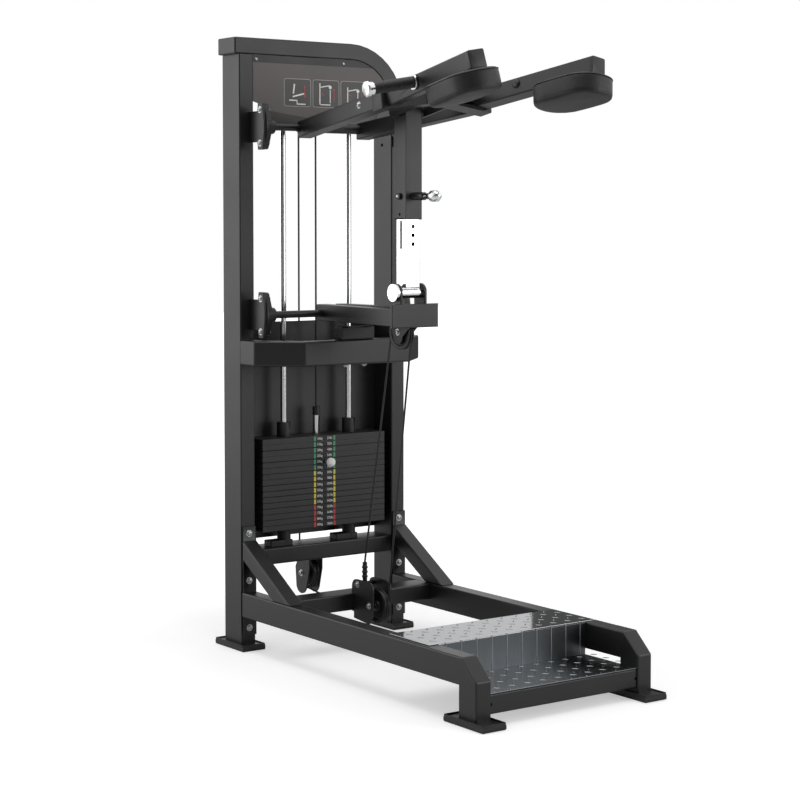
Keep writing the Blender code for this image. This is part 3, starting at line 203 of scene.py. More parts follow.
# %% The card
CARD_COLUMN = 533
CARD_DISTANCE = 8.6
CARD_WIDTH, CARD_HEIGHT, CARD_MIDDLE = 2.4, 1.6, 0.9
CARD_GLOW = 0.13
column_turn = CAMERA_TURN + math.atan((CARD_COLUMN - PHOTO_WIDTH / 2) / FOCAL_PIXELS)
ahead = Vector((math.sin(column_turn), math.cos(column_turn), 0))
across = Vector((math.cos(column_turn), -math.sin(column_turn), 0))
card_black = bpy.data.materials.new("card_black")
tree = empty_tree(card_black)
glow = add_node(tree, "Emission", {"Color": (1, 1, 1, 1), "Strength": CARD_GLOW})
add_node(tree, "OutputMaterial", {}, {"Surface": glow.outputs[0]})
bpy.ops.mesh.primitive_plane_add(size=1, location=(0, 0, 0))
card = bpy.context.object
card.name = "dark_card"
card.scale = (CARD_WIDTH, CARD_HEIGHT, 1)
card.rotation_euler = (math.pi / 2, 0, -column_turn)
card.location = Vector((*CAMERA_PLACE[:2], CARD_MIDDLE)) + CARD_DISTANCE * ahead + CARD_WIDTH / 2 * across
card.data.materials.append(card_black)
card.visible_camera = card.visible_diffuse = card.visible_shadow = card.visible_transmission = False
print("card", CARD_DISTANCE, "m from the camera")

# %% [markdown]
# ## One recipe for most finishes
# Real surfaces are never even. Their colour and shine drift over a few centimetres, as film thickness,
# wear and wiping do, and finer lumps stand in the skin itself. So one recipe serves paint, metal, moulded
# skins and ink: a broad noise drives colour and roughness, and a finer one, or the same, a slight relief.

# %% The recipe
def finish(name, colour, shade, shine, clouds, lumps=None, relief=(0.0, 0.0), stretch=None,
           limits=(0.0, 1.0), metallic=0.0, level=0.5):
    """A finish from (scale, detail) of two noises; shine is the roughness at the first one's limits."""
    made = bpy.data.materials.new(name)
    tree = empty_tree(made)
    place = add_node(tree, "TexCoord").outputs["Object"]
    laid = add_node(tree, "Mapping", {"Scale": stretch}, {"Vector": place}).outputs[0] if stretch else place
    broad = add_node(tree, "TexNoise", {"Scale": clouds[0], "Detail": clouds[1]}, {"Vector": laid})
    drift = broad.outputs["Fac"]
    tone = add_node(tree, "Mix", {"data_type": "RGBA", 6: linear(colour), 7: linear(colour, shade)},
                    {0: drift})
    gloss = add_node(tree, "MapRange", {"From Min": limits[0], "From Max": limits[1], "To Min": shine[0],
                                        "To Max": shine[1]}, {"Value": drift})
    shader = add_node(tree, "BsdfPrincipled", {"Metallic": metallic, "Specular IOR Level": level},
                      {"Base Color": tone.outputs[2], "Roughness": gloss.outputs[0]})
    if relief[0]:
        height = drift
        if lumps:
            fine = add_node(tree, "TexNoise", {"Scale": lumps[0], "Detail": lumps[1]}, {"Vector": place})
            height = fine.outputs["Fac"]
        skin = add_node(tree, "Bump", {"Strength": relief[0], "Distance": relief[1]}, {"Height": height})
        tree.links.new(skin.outputs[0], shader.inputs["Normal"])
    add_node(tree, "OutputMaterial", {}, {"Surface": shader.outputs[0]})
    return made


print("recipe ready")

# %% [markdown]
# ## Powder coat and plain paint
# The frame is steel tube that was dusted with black polyester powder and baked. The film flows as it
# bakes and leaves a faint skin like orange peel, with lumps of a millimetre or two, so its shine is satin
# and a little uneven. The peel is drawn four millimetres wide here, because a finer one wouldn't show.
# The weight plates have a thinner, duller paint of the same kind.

# %% Painted steel
PEEL = 0.004


def painted(name, colour, roughness):
    """A paint with an uneven film."""
    return finish(name, colour, 1.35, (roughness - 0.05, roughness + 0.06), (9.0, 4.0), (1 / PEEL, 2.0),
                  (0.12, 0.0003))


powder_coat = painted("powder_coat_satin_black", "#141414", 0.38)
plate_paint = painted("cast_plate_paint", "#191919", 0.48)
shroud_paint = painted("shroud_paint_black", "#161616", 0.42)
print("paints", powder_coat.name, plate_paint.name, shroud_paint.name)

# %% [markdown]
# ## Bright metals
# Decorative chrome on the post, the rods and the grip caps is nearly a mirror, with the faint haze of
# wiped-off fingerprints. Zinc plating on the bolts is greyer and blotched. The step is rolled aluminium
# plate, brushed along the machine's width by the rolls, so its noise is stretched that way, and the
# riser's upwards.

# %% Chrome, zinc and rolled plate
BRUSHED = (0.12, 1, 1)


def bright_metal(name, colour, roughness, spread, blotch, stretch=None, scratch=0.0):
    """A bare or plated metal: blotch is the size of its uneven patches in metres, spread how uneven."""
    return finish(name, colour, 0.86, (roughness, roughness + spread), (1 / blotch, 4.0), None,
                  (scratch, 0.0002), stretch, (0.3, 0.7), 1.0)


chrome_plate = bright_metal("chrome_plated_steel", "#fbfcfd", 0.13, 0.03, 0.030)
zinc_plate = bright_metal("zinc_plated_steel", "#c4c7ca", 0.26, 0.14, 0.004, scratch=0.10)
tread_plate = bright_metal("rolled_aluminium_plate", "#8b8d8f", 0.05, 0.03, 0.006, BRUSHED, 0.02)
deck_plate = bright_metal("worn_aluminium_plate", "#686b6e", 0.20, 0.05, 0.006, BRUSHED, 0.02)
riser_plate = bright_metal("brushed_aluminium_riser", "#676b6e", 0.32, 0.08, 0.004, (1, 1, 0.02), 0.16)
print("metals", chrome_plate.name, zinc_plate.name, tread_plate.name, deck_plate.name, riser_plate.name)

# %% [markdown]
# ## Rubber, vinyl and plastics
# Moulded parts get their skin from the mould. Rubber stops and grips come out matt, and their fine grain is
# drawn 1.5 millimetres wide so that it shows. The pads are covered with vinyl, a PVC skin embossed like
# leather: rounded cells with narrow valleys between them, glossy on top and duller in the valleys. Plastic
# pulleys and plugs are smoother than rubber. Holes that aren't cut are patches of painted shade, a black
# that hardly shines.

# %% Moulded and embossed skins
def moulded(name, colour, roughness, grain, depth, level=0.5):
    """Rubber or plastic with the grain of its mould: grain is a lump's size in metres."""
    return finish(name, colour, 1.5, (roughness - 0.06, roughness + 0.10), (30.0, 3.0), (1 / grain, 3.0),
                  (depth, 0.0004), level=level)


black_rubber = moulded("moulded_rubber", "#161616", 0.55, 0.0015, 0.30)
plug_plastic = moulded("moulded_nylon", "#121212", 0.40, 0.002, 0.12)
cable_jacket = moulded("extruded_nylon_jacket", "#101010", 0.30, 0.004, 0.10)
white_plastic = moulded("white_phenolic_ball", "#f4f4f2", 0.22, 0.003, 0.05)
# painted shade: a near black that stands for the dark inside of holes
hole_shade = moulded("shadow_in_a_hole", "#020202", 0.90, 0.004, 0.0, 0.05)

# vinyl: the embossed cells are two millimetres wide, a little coarser than real ones, so that they show
GRAIN = 0.002
pad_vinyl = bpy.data.materials.new("embossed_pvc_vinyl")
tree = empty_tree(pad_vinyl)
place = add_node(tree, "TexCoord").outputs["Object"]
uneven = add_node(tree, "TexNoise", {"Scale": 260.0, "Detail": 2.0}, {"Vector": place})
bent = add_node(tree, "Mix", {"data_type": "VECTOR", 0: 0.004}, {4: place, 5: uneven.outputs["Color"]})
cells = add_node(tree, "TexVoronoi", {"Scale": 1 / GRAIN, "feature": "DISTANCE_TO_EDGE"},
                 {"Vector": bent.outputs[1]})
valley = add_node(tree, "MapRange", {"From Max": 0.30}, {"Value": cells.outputs["Distance"]})
soft = add_node(tree, "TexNoise", {"Scale": 22.0, "Detail": 3.0}, {"Vector": place})
shine = add_node(tree, "MapRange", {"To Min": 0.50, "To Max": 0.36}, {"Value": valley.outputs[0]})
hide = blend(tree, soft.outputs["Fac"], "#0d0d0d", "#1a1a1a")
relief = add_node(tree, "Bump", {"Strength": 0.35, "Distance": 0.0004}, {"Height": valley.outputs[0]})
shader = add_node(tree, "BsdfPrincipled", {"Specular IOR Level": 0.5},
                  {"Base Color": hide, "Roughness": shine.outputs[0],
                   "Normal": relief.outputs[0]})
add_node(tree, "OutputMaterial", {}, {"Surface": shader.outputs[0]})
print("skins", black_rubber.name, plug_plastic.name, cable_jacket.name, white_plastic.name, pad_vinyl.name)

# %% [markdown]
# ## Printed card and label film
# The placard and the weight labels are printed flat. Ink lies thin on the card, so the colour changes only
# a little from place to place, and the film over it is smooth.

# %% Inks
INK_COLOURS = {"black": "#101010", "white": "#f2f2f0", "pale": "#a39f9b", "field": "#434140",
               "green": "#3f9a6c", "yellow": "#dcd045", "red": "#c8393b"}
INK_SHINE, MOTTLE = (0.38, 0.48), 120.0
inks = {name: finish("ink_" + name, colour, 0.90, INK_SHINE, (MOTTLE, 3.0))
        for name, colour in INK_COLOURS.items()}
print("inks", sorted(inks))

# %% [markdown]
# ## Modelling helpers
# Everything below is modelled as by hand: add a shape, pick faces or edges, use an edit tool, then apply
# the modifiers. An operator works on all that is selected, so each step starts by selecting one piece
# alone. The faces or edges for a tool are picked by a rule about where they are and which way they look.

# %% Picking, bevelling and sinking
def alone(thing):
    """Selects one object and nothing else, in object mode."""
    if bpy.context.object and bpy.context.object.mode != "OBJECT":
        bpy.ops.object.mode_set(mode="OBJECT")
    bpy.ops.object.select_all(action="DESELECT")
    thing.select_set(True)
    bpy.context.view_layer.objects.active = thing
    return thing


def pick(thing, kind, wanted):
    """Opens a piece with the faces or edges selected that wanted(middle, normal or run) accepts."""
    alone(thing)
    bpy.ops.object.mode_set(mode="EDIT")
    bpy.ops.mesh.select_mode(type=kind)
    bpy.ops.mesh.select_all(action="DESELECT")
    net = bmesh.from_edit_mesh(thing.data)
    if kind == "FACE":
        for face in net.faces:
            face.select_set(wanted(thing.matrix_world @ face.calc_center_median(), face.normal))
    else:
        for edge in net.edges:
            ends = [thing.matrix_world @ v.co for v in edge.verts]
            edge.select_set(wanted((ends[0] + ends[1]) / 2, (ends[1] - ends[0]).normalized()))
    bmesh.update_edit_mesh(thing.data)


def done_editing():
    """Back to object mode."""
    bpy.ops.object.mode_set(mode="OBJECT")


def bevelled(thing, wanted, width, steps):
    """Rounds the edges that wanted(middle, run) accepts."""
    pick(thing, "EDGE", wanted)
    bpy.ops.mesh.bevel(offset=width, segments=steps)
    done_editing()
    return thing


def sunk(thing, wanted, border, depth):
    """Insets the faces that wanted(middle, normal) accepts and pushes them down by depth."""
    pick(thing, "FACE", wanted)
    bpy.ops.mesh.inset(thickness=border)
    bpy.ops.mesh.extrude_region_move(TRANSFORM_OT_translate={"value": (0, 0, -depth)})
    done_editing()


print("picking ready")

# %% [markdown]
# The function settle finishes a piece: it puts the piece's place into its mesh, sets its shading, gives it
# its material and ties it to the body that it moves with. Big flat faces next to round edges can be told
# to keep their flat shading.

# %% Joining and finishing
def joined(pieces):
    """Several shapes as one object."""
    alone(pieces[0])
    for piece in pieces[1:]:
        piece.select_set(True)
    bpy.ops.object.join()
    return bpy.context.object


def bake_place(piece):
    """Applies the modifiers, then moves the object's place, turn and size into its mesh."""
    alone(piece)
    for modifier in list(piece.modifiers):
        bpy.ops.object.modifier_apply(modifier=modifier.name)
    bpy.ops.object.transform_apply(location=True, rotation=True, scale=True)
    return piece


def settle(piece, name, coat, body, nodes=(), slot=None, angle=30, flats=False):
    """Finishes a piece: place in the mesh, shading, material, and its body. Flats keeps big faces flat."""
    bake_place(piece)
    bpy.ops.object.shade_smooth_by_angle(angle=math.radians(angle))
    if flats:
        even = piece.modifiers.new("even", "WEIGHTED_NORMAL")
        even.weight = 100
        even.keep_sharp = True
        bpy.ops.object.modifier_apply(modifier=even.name)
    piece.name = name
    piece.data.name = name
    if coat:
        piece.data.materials.clear()
        piece.data.materials.append(coat)
    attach(piece, body)
    if nodes:
        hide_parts(*nodes)
    return piece


print("finishing ready")

# %% [markdown]
# Many small parts are the same thing again, or its mirror image on the machine's other side. Most of them
# start as a box or a round bar between two points.

# %% Copies, boxes and bars
def copied(piece, flip=False):
    """A copy with its own mesh, as it is or flipped to the machine's other side."""
    twin = bpy.data.objects.new(piece.name + "_twin", piece.data.copy())
    bpy.context.collection.objects.link(twin)
    if flip:
        twin.data.transform(Matrix.Diagonal((-1, 1, 1, 1)))
        twin.data.flip_normals()
    return twin


def box_between(low, high):
    """A box primitive from its lowest to its highest corner."""
    middle = [(a + b) / 2 for a, b in zip(low, high)]
    bpy.ops.mesh.primitive_cube_add(size=1, location=middle, scale=[b - a for a, b in zip(low, high)])
    thing = bpy.context.object
    bpy.ops.object.transform_apply(location=True, rotation=True, scale=True)
    return thing


def rod_between(start, end, radius, steps=24):
    """A cylinder primitive along the line from start to end."""
    start, end = Vector(start), Vector(end)
    turn = (end - start).to_track_quat("Z", "Y").to_euler()
    bpy.ops.mesh.primitive_cylinder_add(vertices=steps, radius=radius, depth=(end - start).length,
                                        location=(start + end) / 2, rotation=turn)
    return bpy.context.object


print("copies, boxes and bars ready")

# %% [markdown]
# ## Rolled corners
# Square steel tube is rolled and welded, so its long corners are round, with a radius of about one and a
# half walls. On black paint those corners are what the eye sees: each one carries a thin line of light.
# The CAD tubes are sharp, so a copy of each gets its corners merged, the flat faces joined up, and only
# the long outer edges rounded: edges that stick out, are long, and have a wide flat on both sides. Holes
# and thin plates stay crisp.

# %% A CAD copy with rolled corners
ROLL = 0.0045
MERGE = 1e-5
STICKS_OUT = math.radians(30)
bodies = frame["record"]["behaviour"]["bodies"]
body_of_node = {node: body for body, nodes in bodies.items() for node in nodes}


def rolled(node, coat, radius=ROLL, shortest=0.02, steps=3, angle=30, name=None):
    """A finished copy of a CAD node, its long outer edges rounded by a bevel."""
    name = name or node + "_steel"
    piece = bpy.data.objects.new(name, frame["nodes"][node].data.copy())
    bpy.context.collection.objects.link(piece)
    net = bmesh.new()
    net.from_mesh(piece.data)
    bmesh.ops.remove_doubles(net, verts=net.verts, dist=MERGE)
    bmesh.ops.dissolve_limit(net, angle_limit=math.radians(1), verts=net.verts, edges=net.edges)
    weight = net.edges.layers.float.new("bevel_weight_edge")
    rounded = 0
    for edge in net.edges:
        if radius == 0 or len(edge.link_faces) != 2 or edge.calc_length() < shortest:
            continue
        spans = [face.calc_area() / max(e.calc_length() for e in face.edges) for face in edge.link_faces]
        if edge.calc_face_angle_signed() > STICKS_OUT and min(spans) > 2.2 * radius:
            edge[weight] = 1.0
            rounded += 1
    net.to_mesh(piece.data)
    net.free()
    if rounded:
        bevel = piece.modifiers.new("rolled", "BEVEL")
        bevel.limit_method = "WEIGHT"
        bevel.width = radius
        bevel.segments = steps
        bevel.use_clamp_overlap = False
        bevel.miter_outer = "MITER_ARC"
    return settle(piece, name, coat, body_of_node[node], (node,), angle=angle, flats=rounded > 0)


# %% [markdown]
# ## The frame
# Two uprights of 50 by 100 mm tube, a beam that bends down into the right one, two rails on the floor with
# chamfered legs, and the cross tubes between them. All of it is welded tube under one coat of powder, so
# one finish and one corner radius serve the whole frame.

# %% Uprights, beam, rails, braces and the guard bar
for node in ("left_upright", "right_upright", "top_beam", "stack_cross_tube", "base_cross_tube",
             "left_base_rail", "right_base_rail", "left_brace", "right_brace", "front_cross_bar"):
    rolled(node, powder_coat)
guard = rolled("guard_bar", powder_coat, radius=0.006, steps=4)
print("guard bar", len(guard.data.polygons), "faces")

# %% [markdown]
# ## Levers, bearings and post
# The lower lever and the yoke turn on round shafts in flange bearings. The post between them is square
# chromed tube inside painted tube. Round parts only need merged corners and smooth shading; thin plates
# get a finer edge than tube, because a laser cuts them and a brush just breaks the edge.

# %% Levers, bearings, post and shafts
lever = rolled("lower_lever", powder_coat, radius=0.003)
yoke = rolled("yoke", powder_coat, radius=0.004)
for level in ("lower", "upper"):
    for side in ("left", "right"):
        rolled("_".join((level, side, "bearing")), powder_coat, radius=0.0012, steps=2)
rolled("outer_post", powder_coat, radius=0.005)
rolled("inner_post", chrome_plate, radius=0.004)
rolled("lower_post_pin", chrome_plate, radius=0.0, name="lower_post_pin_chrome")
rolled("upper_shaft", powder_coat, radius=0.0, name="upper_shaft_steel")
rolled("pop_pin", chrome_plate, radius=0.0, angle=50, name="pop_pin_chrome")
print("lever", len(lever.data.polygons), "yoke", len(yoke.data.polygons), "faces")

# %% [markdown]
# ## The weight stack
# Sixteen cast plates slide on two chromed guide rods and stand on rubber cushions. A casting's edges are
# ground a little round. The stem ends in the cable's black fitting. A sheet-metal shroud closes the back.

# %% Plates, rods, stem, cushions and shroud
SHEET_EDGE = 0.25
STEM_TOP = 0.6965


def widened(sheet, more):
    """Lets a sheet between the uprights reach behind their rounded corners, so no light comes past it."""
    for v in sheet.data.vertices:
        if abs(v.co.x) > SHEET_EDGE:
            v.co.x += math.copysign(more, v.co.x)


plate_names = ["head_plate"] + ["weight_plate_%02d" % number for number in range(2, 17)]
for node in plate_names:
    rolled(node, plate_paint, radius=0.0016, steps=2, name=node + "_iron")
for node in ("left_guide_rod", "right_guide_rod", "selector_stem"):
    rolled(node, chrome_plate, radius=0.0, name=node + "_chrome")
stem = bpy.data.objects["selector_stem_chrome"]
stem.data.materials.append(plug_plastic)
for face in stem.data.polygons:
    if face.center.z > STEM_TOP - 1e-4:
        face.material_index = 1
for side in ("left", "right"):
    rolled(side + "_stack_cushion", black_rubber, radius=0.003, shortest=0.001, angle=40,
           name=side + "_cushion_rubber")
shroud = rolled("rear_shroud", shroud_paint, radius=0.0, name="rear_shroud_sheet")
widened(shroud, 0.003)
rolled("cable", cable_jacket, radius=0.0, angle=60, name="cable_jacketed")
rolled("lever_stop", black_rubber, radius=0.006, steps=4, name="lever_stop_rubber")
print("stack of", len(plate_names), "plates")

# %% [markdown]
# ## A lathe
# Pulleys, knobs, grip caps and collars are turned parts. Their outline is drawn once as pairs of distance
# along the axis and radius, and the spin tool turns it a full circle. The doubles at the seam are merged,
# and the normals are set again, because spinning can turn a shape inside out.

# %% Spinning an outline
def pointing(place, direction):
    """The matrix that puts the origin at a place and turns +Z to a direction."""
    return Matrix.Translation(place) @ Vector(direction).to_track_quat("Z", "Y").to_matrix().to_4x4()


def lathed(outline, start, direction, steps=48, ring=False):
    """Spins (distance, radius) pairs about the line from start; ring joins the outline's ends first."""
    edges = [(i, i + 1) for i in range(len(outline) - 1)]
    if ring:
        edges.append((len(outline) - 1, 0))
    sketch = bpy.data.meshes.new("outline")
    sketch.from_pydata([(radius, 0, along) for along, radius in outline], edges, [])
    thing = bpy.data.objects.new("outline", sketch)
    bpy.context.collection.objects.link(thing)
    alone(thing)
    bpy.ops.object.mode_set(mode="EDIT")
    bpy.ops.mesh.select_all(action="SELECT")
    bpy.ops.mesh.spin(steps=steps, angle=2 * math.pi, center=(0, 0, 0), axis=(0, 0, 1))
    bpy.ops.mesh.select_all(action="SELECT")
    bpy.ops.mesh.remove_doubles(threshold=MERGE)
    bpy.ops.mesh.normals_make_consistent(inside=False)
    done_editing()
    thing.data.transform(pointing(start, direction))
    return thing


print("lathe ready")

# %% [markdown]
# ## Bolts
# The frame is held together by button-head socket screws on washers, zinc plated. One screw is modelled at
# the world's middle, pointing up: a disc with a broken edge for the washer, a disc with a big bevel for
# the head, and a hole made by an inset and an extrusion downwards. Every screw on the machine is a copy.

# %% One button-head screw and a hexagon nut
WASHER = 0.0016


def button_screw(washer, head):
    """A socket screw on its washer, whose middle is the origin; both sizes are diameters."""
    seat, top = WASHER / 2, WASHER / 2 + 0.42 * head
    disc = bake_place(rod_between((0, 0, -seat), (0, 0, seat), washer / 2))
    dome = bake_place(rod_between((0, 0, seat), (0, 0, top), head / 2))
    bevelled(disc, lambda middle, run: middle.z > seat - 1e-4, 0.0004, 1)
    crown = top - 1e-4
    bevelled(dome, lambda middle, run: middle.z > crown, 0.24 * head, 5)
    sunk(dome, lambda middle, normal: normal.z > 0.99 and middle.z > crown, 0.03 * head, 0.22 * head)
    return joined([disc, dome])


def hexagon_nut(across, tall):
    """A nut round the origin with a chamfered crown and a screw's end standing out of it."""
    piece = bake_place(rod_between((0, 0, -tall / 2), (0, 0, tall / 2), across / math.sqrt(3), 6))
    for border, rise in ((0.10, 0.10), (0.12, 0.35)):
        top = max(v.co.z for v in piece.data.vertices) - MERGE
        sunk(piece, lambda middle, normal: normal.z > 0.99 and middle.z > top, border * across, -rise * tall)
    return piece


def set_of(model, name, coat, body, spots, slot="chrome", angle=30):
    """Copies of a model that points up, one at each (place, direction), joined as one piece."""
    made = []
    for place, direction in spots:
        made.append(copied(model))
        made[-1].data.transform(pointing(place, direction))
    settle(joined(made), name, coat, body, slot=slot, angle=angle)


LEFT, RIGHT, FRONT, UP, DOWN = (-1, 0, 0), (1, 0, 0), (0, -1, 0), (0, 0, 1), (0, 0, -1)
screw = button_screw(0.021, 0.0135)
nut = hexagon_nut(0.017, 0.008)
small_screw = button_screw(0.0085, 0.0075)
print("screw", len(screw.data.polygons), "faces, nut", len(nut.data.polygons))

# %% [markdown]
# ## Where the bolts go
# Three screws hold each rail's joint plate to its upright. Two hold every bearing, with nuts behind. The
# rear pulley's leaf, the base pulley's cheeks, the lever stop, the yoke and the placard have their own.

# %% Screws and nuts in place
PLATE_X, PLATE_FRONT, PLATE_HOLES = 0.2785, 0.522, (0.0675, 0.2117, 0.3556)
BEARING_FACE, FLANGE_FACE = 0.2695, 0.2455
SHAFT_Y, SHAFT_HEIGHTS = 0.466, (1.0195, 1.582)
SCREW_SPREAD = 0.0495
AXLE_ENDS = ((0.0335, 0.3005, 0.2064), (0.0335, 0.2396, 0.1507), (0.0255, 0.626, 0.1945))
STOP_NUT = (0.034, 0.364, 0.868)
PLACARD_FACE, PLACARD_HOLES = 0.528, ((-0.2435, 1.786), (0.0715, 1.786))

spots, nut_spots = [], []
for side, outwards, inwards in ((-1, LEFT, RIGHT), (1, RIGHT, LEFT)):
    spots += [((side * PLATE_X, PLATE_FRONT, z), FRONT) for z in PLATE_HOLES]
    for z in [height + up * SCREW_SPREAD for height in SHAFT_HEIGHTS for up in (-1, 1)]:
        spots.append(((side * BEARING_FACE, SHAFT_Y, z), outwards))
        nut_spots.append(((side * FLANGE_FACE, SHAFT_Y, z), inwards))
    spots += [((side * x, y, z), outwards) for x, y, z in AXLE_ENDS]
    nut_spots.append(((side * STOP_NUT[0], *STOP_NUT[1:]), DOWN))
placard_spots = [((x, PLACARD_FACE, z), FRONT) for x, z in PLACARD_HOLES]
for model, name, places in ((screw, "frame_screws", spots), (nut, "frame_nuts", nut_spots),
                            (small_screw, "placard_screws", placard_spots)):
    set_of(model, name, zinc_plate, "tower", places)
print(len(spots), "screws,", len(nut_spots), "nuts,", len(placard_spots), "placard screws")

# %% [markdown]
# ## Shoulder pads
# A pad is a foam block in sewn vinyl on a board. Its arm is splayed, tilted and rolled, so the block is
# built in the arm's own axes, where it is straight. Its upright corners get a wide bevel and its lower edge
# a narrow one. It starts two millimetres small, because it swells in the next step.

# %% The block in the pad arm's own axes
PAD_LEFT, PAD_RIGHT = -0.102, 0.052
PAD_REAR, PAD_FRONT = -0.217, 0.026
PAD_TOP, PAD_LOW = -0.0503, -0.1118
SKIN = 0.002
MOST_MOVE = 0.0035

ARM_END = (-0.2362, -0.502, 1.740)
splay, tilt, roll = math.radians(6.8), math.radians(8.9), math.radians(9.8)
ahead = Vector((-math.sin(splay) * math.cos(tilt), -math.cos(splay) * math.cos(tilt), math.sin(tilt)))
outwards = Matrix.Rotation(roll, 3, ahead) @ Vector((-math.cos(splay), math.sin(splay), 0))
arm_axes = Matrix((outwards, ahead, outwards.cross(ahead))).transposed().to_4x4()
left_arm = Matrix.Translation(ARM_END) @ arm_axes

block = box_between((PAD_LEFT + SKIN, PAD_REAR + SKIN, PAD_LOW + SKIN),
                    (PAD_RIGHT - SKIN, PAD_FRONT - SKIN, PAD_TOP))
bevelled(block, lambda middle, run: abs(run.z) > 0.9, 0.072, 12)
bevelled(block, lambda middle, run: abs(run.z) < 0.1 and middle.z < PAD_LOW + SKIN + 1e-4, 0.007, 4)
print("pad block", [round(v, 3) for v in block.dimensions])

# %% [markdown]
# The sewn skin pulls the foam round and full between its seams, and a cloth simulation gives just that: the
# block's skin is cut into small cells, treated as cloth, and blown up a little from inside, while the rows
# next to the board stay put. No point may move further than the foam would let it.

# %% Blowing the skin up
VOXEL = 0.005
PRESSURE, STIFFNESS, BENDING, LAST_FRAME = 1.5, 40, 4, 20
HELD_HEIGHT = 0.004


def blown(piece, held):
    """Cloth under pressure from inside: held(point) is 1 where the skin can't move, 0 where it is free."""
    remesh = piece.modifiers.new("cells", "REMESH")
    remesh.mode = "VOXEL"
    remesh.voxel_size = VOXEL
    bake_place(piece)
    before = [v.co.copy() for v in piece.data.vertices]
    pins = piece.vertex_groups.new(name="held")
    for v in piece.data.vertices:
        pins.add([v.index], held(v.co), "REPLACE")
    cloth = piece.modifiers.new("skin", "CLOTH")
    cloth.settings.vertex_group_mass = "held"
    cloth.settings.use_pressure = True
    cloth.settings.uniform_pressure_force = PRESSURE
    cloth.settings.effector_weights.gravity = 0
    cloth.settings.tension_stiffness = cloth.settings.compression_stiffness = STIFFNESS
    cloth.settings.bending_stiffness = BENDING
    cloth.point_cache.frame_start = 1
    cloth.point_cache.frame_end = LAST_FRAME
    for number in range(1, LAST_FRAME + 1):
        bpy.context.scene.frame_set(number)
    alone(piece)
    bpy.ops.object.modifier_apply(modifier="skin")
    bpy.context.scene.frame_set(1)
    piece.vertex_groups.clear()
    moves = [(v.co - old).length for v, old in zip(piece.data.vertices, before)]
    for v, old, far in zip(piece.data.vertices, before, moves):
        if far > MOST_MOVE:
            v.co = old + (v.co - old) * (MOST_MOVE / far)
    print("largest move", round(1000 * max(moves), 1), "mm, kept to", 1000 * MOST_MOVE)
    even = piece.modifiers.new("even", "SMOOTH")
    even.factor = 0.5
    even.iterations = 6
    return bake_place(piece)


blown(block, lambda co: 1.0 if co.z > PAD_TOP - HELD_HEIGHT else 0.0)
print("skin cells", len(block.data.polygons))

# %% [markdown]
# The sewn seam between the pad's side and its underside pulls the skin in to a narrow groove, and a second
# one runs under the board. Both are made by drawing the points near each seam's level inwards, more the
# nearer they are. The underside, which lies on the shoulder, is also crowned a little.

# %% Seams
SEAM_LEVELS = (PAD_TOP - 0.0060, PAD_LOW + 0.0095)
SEAM_HALF = 0.0035
SEAM_DEPTH = 0.0012
SEAM_FROM = 0.035
CROWN, CROWN_ROWS, CROWN_REACH = 0.003, 0.012, (0.077, 0.1215)
middle_x, middle_y = (PAD_LEFT + PAD_RIGHT) / 2, (PAD_REAR + PAD_FRONT) / 2

finer = block.modifiers.new("finer", "SUBSURF")
finer.levels = finer.render_levels = 1
bake_place(block)
for v in block.data.vertices:
    away = Vector((v.co.x - middle_x, (v.co.y - middle_y) * 0.6, 0))
    if away.length < SEAM_FROM:
        continue
    for level in SEAM_LEVELS:
        near = max(0.0, 1 - abs(v.co.z - level) / SEAM_HALF)
        v.co -= away.normalized() * SEAM_DEPTH * near * near
for v in block.data.vertices:
    if v.co.z < PAD_LOW + CROWN_ROWS:
        out = math.hypot((v.co.x - middle_x) / CROWN_REACH[0], (v.co.y - middle_y) / CROWN_REACH[1])
        v.co.z -= CROWN * max(0.0, 1 - out * out)
print("seams at", [round(level, 4) for level in SEAM_LEVELS])

# %% [markdown]
# Beading, a thin cord wrapped in vinyl, is sewn into the upper seam. It is a curve with a round bevel that
# follows the pad's outline. Then the pad and its cord go to their place on the left arm, and a flipped copy
# of each to the right one.

# %% Beading and the second pad
BEAD_IN, BEAD_RADIUS, CORNER = 0.0022, 0.0014, 0.0725
half_width = (PAD_RIGHT - PAD_LEFT) / 2 - BEAD_IN
half_length = (PAD_FRONT - PAD_REAR) / 2 - BEAD_IN


def pad_ring(level, steps=14):
    """Points round the pad at one level: straights joined by quarter circles."""
    points = []
    for quarter in range(4):
        along_x = 1 if quarter in (0, 3) else -1
        along_y = 1 if quarter in (0, 1) else -1
        centre = (middle_x + along_x * (half_width - CORNER), middle_y + along_y * (half_length - CORNER))
        for step in range(steps + 1):
            turn = math.radians(90 * quarter + 90 * step / steps)
            points.append((centre[0] + CORNER * math.cos(turn), centre[1] + CORNER * math.sin(turn), level))
    return points


def cord_along(points, radius, name):
    """A round cord along a closed ring of points, as a mesh."""
    line = bpy.data.curves.new(name, "CURVE")
    line.dimensions = "3D"
    line.bevel_depth = radius
    line.bevel_resolution = 2
    run = line.splines.new("POLY")
    run.points.add(len(points) - 1)
    for point, co in zip(run.points, points):
        point.co = (*co, 1)
    run.use_cyclic_u = True
    thing = bpy.data.objects.new(name, line)
    bpy.context.collection.objects.link(thing)
    alone(thing)
    bpy.ops.object.convert(target="MESH")
    return bpy.context.object


bead = cord_along(pad_ring(SEAM_LEVELS[0]), BEAD_RADIUS, "bead")
for piece in (bead, block):
    piece.data.transform(left_arm)
right_block, right_bead = copied(block, flip=True), copied(bead, flip=True)
for side, cushion, cord in (("left", block, bead), ("right", right_block, right_bead)):
    settle(cushion, side + "_shoulder_pad", pad_vinyl, "yoke", (side + "_pad",), angle=60)
    settle(cord, side + "_pad_beading", plug_plastic, "yoke", slot="pad_vinyl", angle=60)
print("pads", len(block.data.polygons), "faces each")

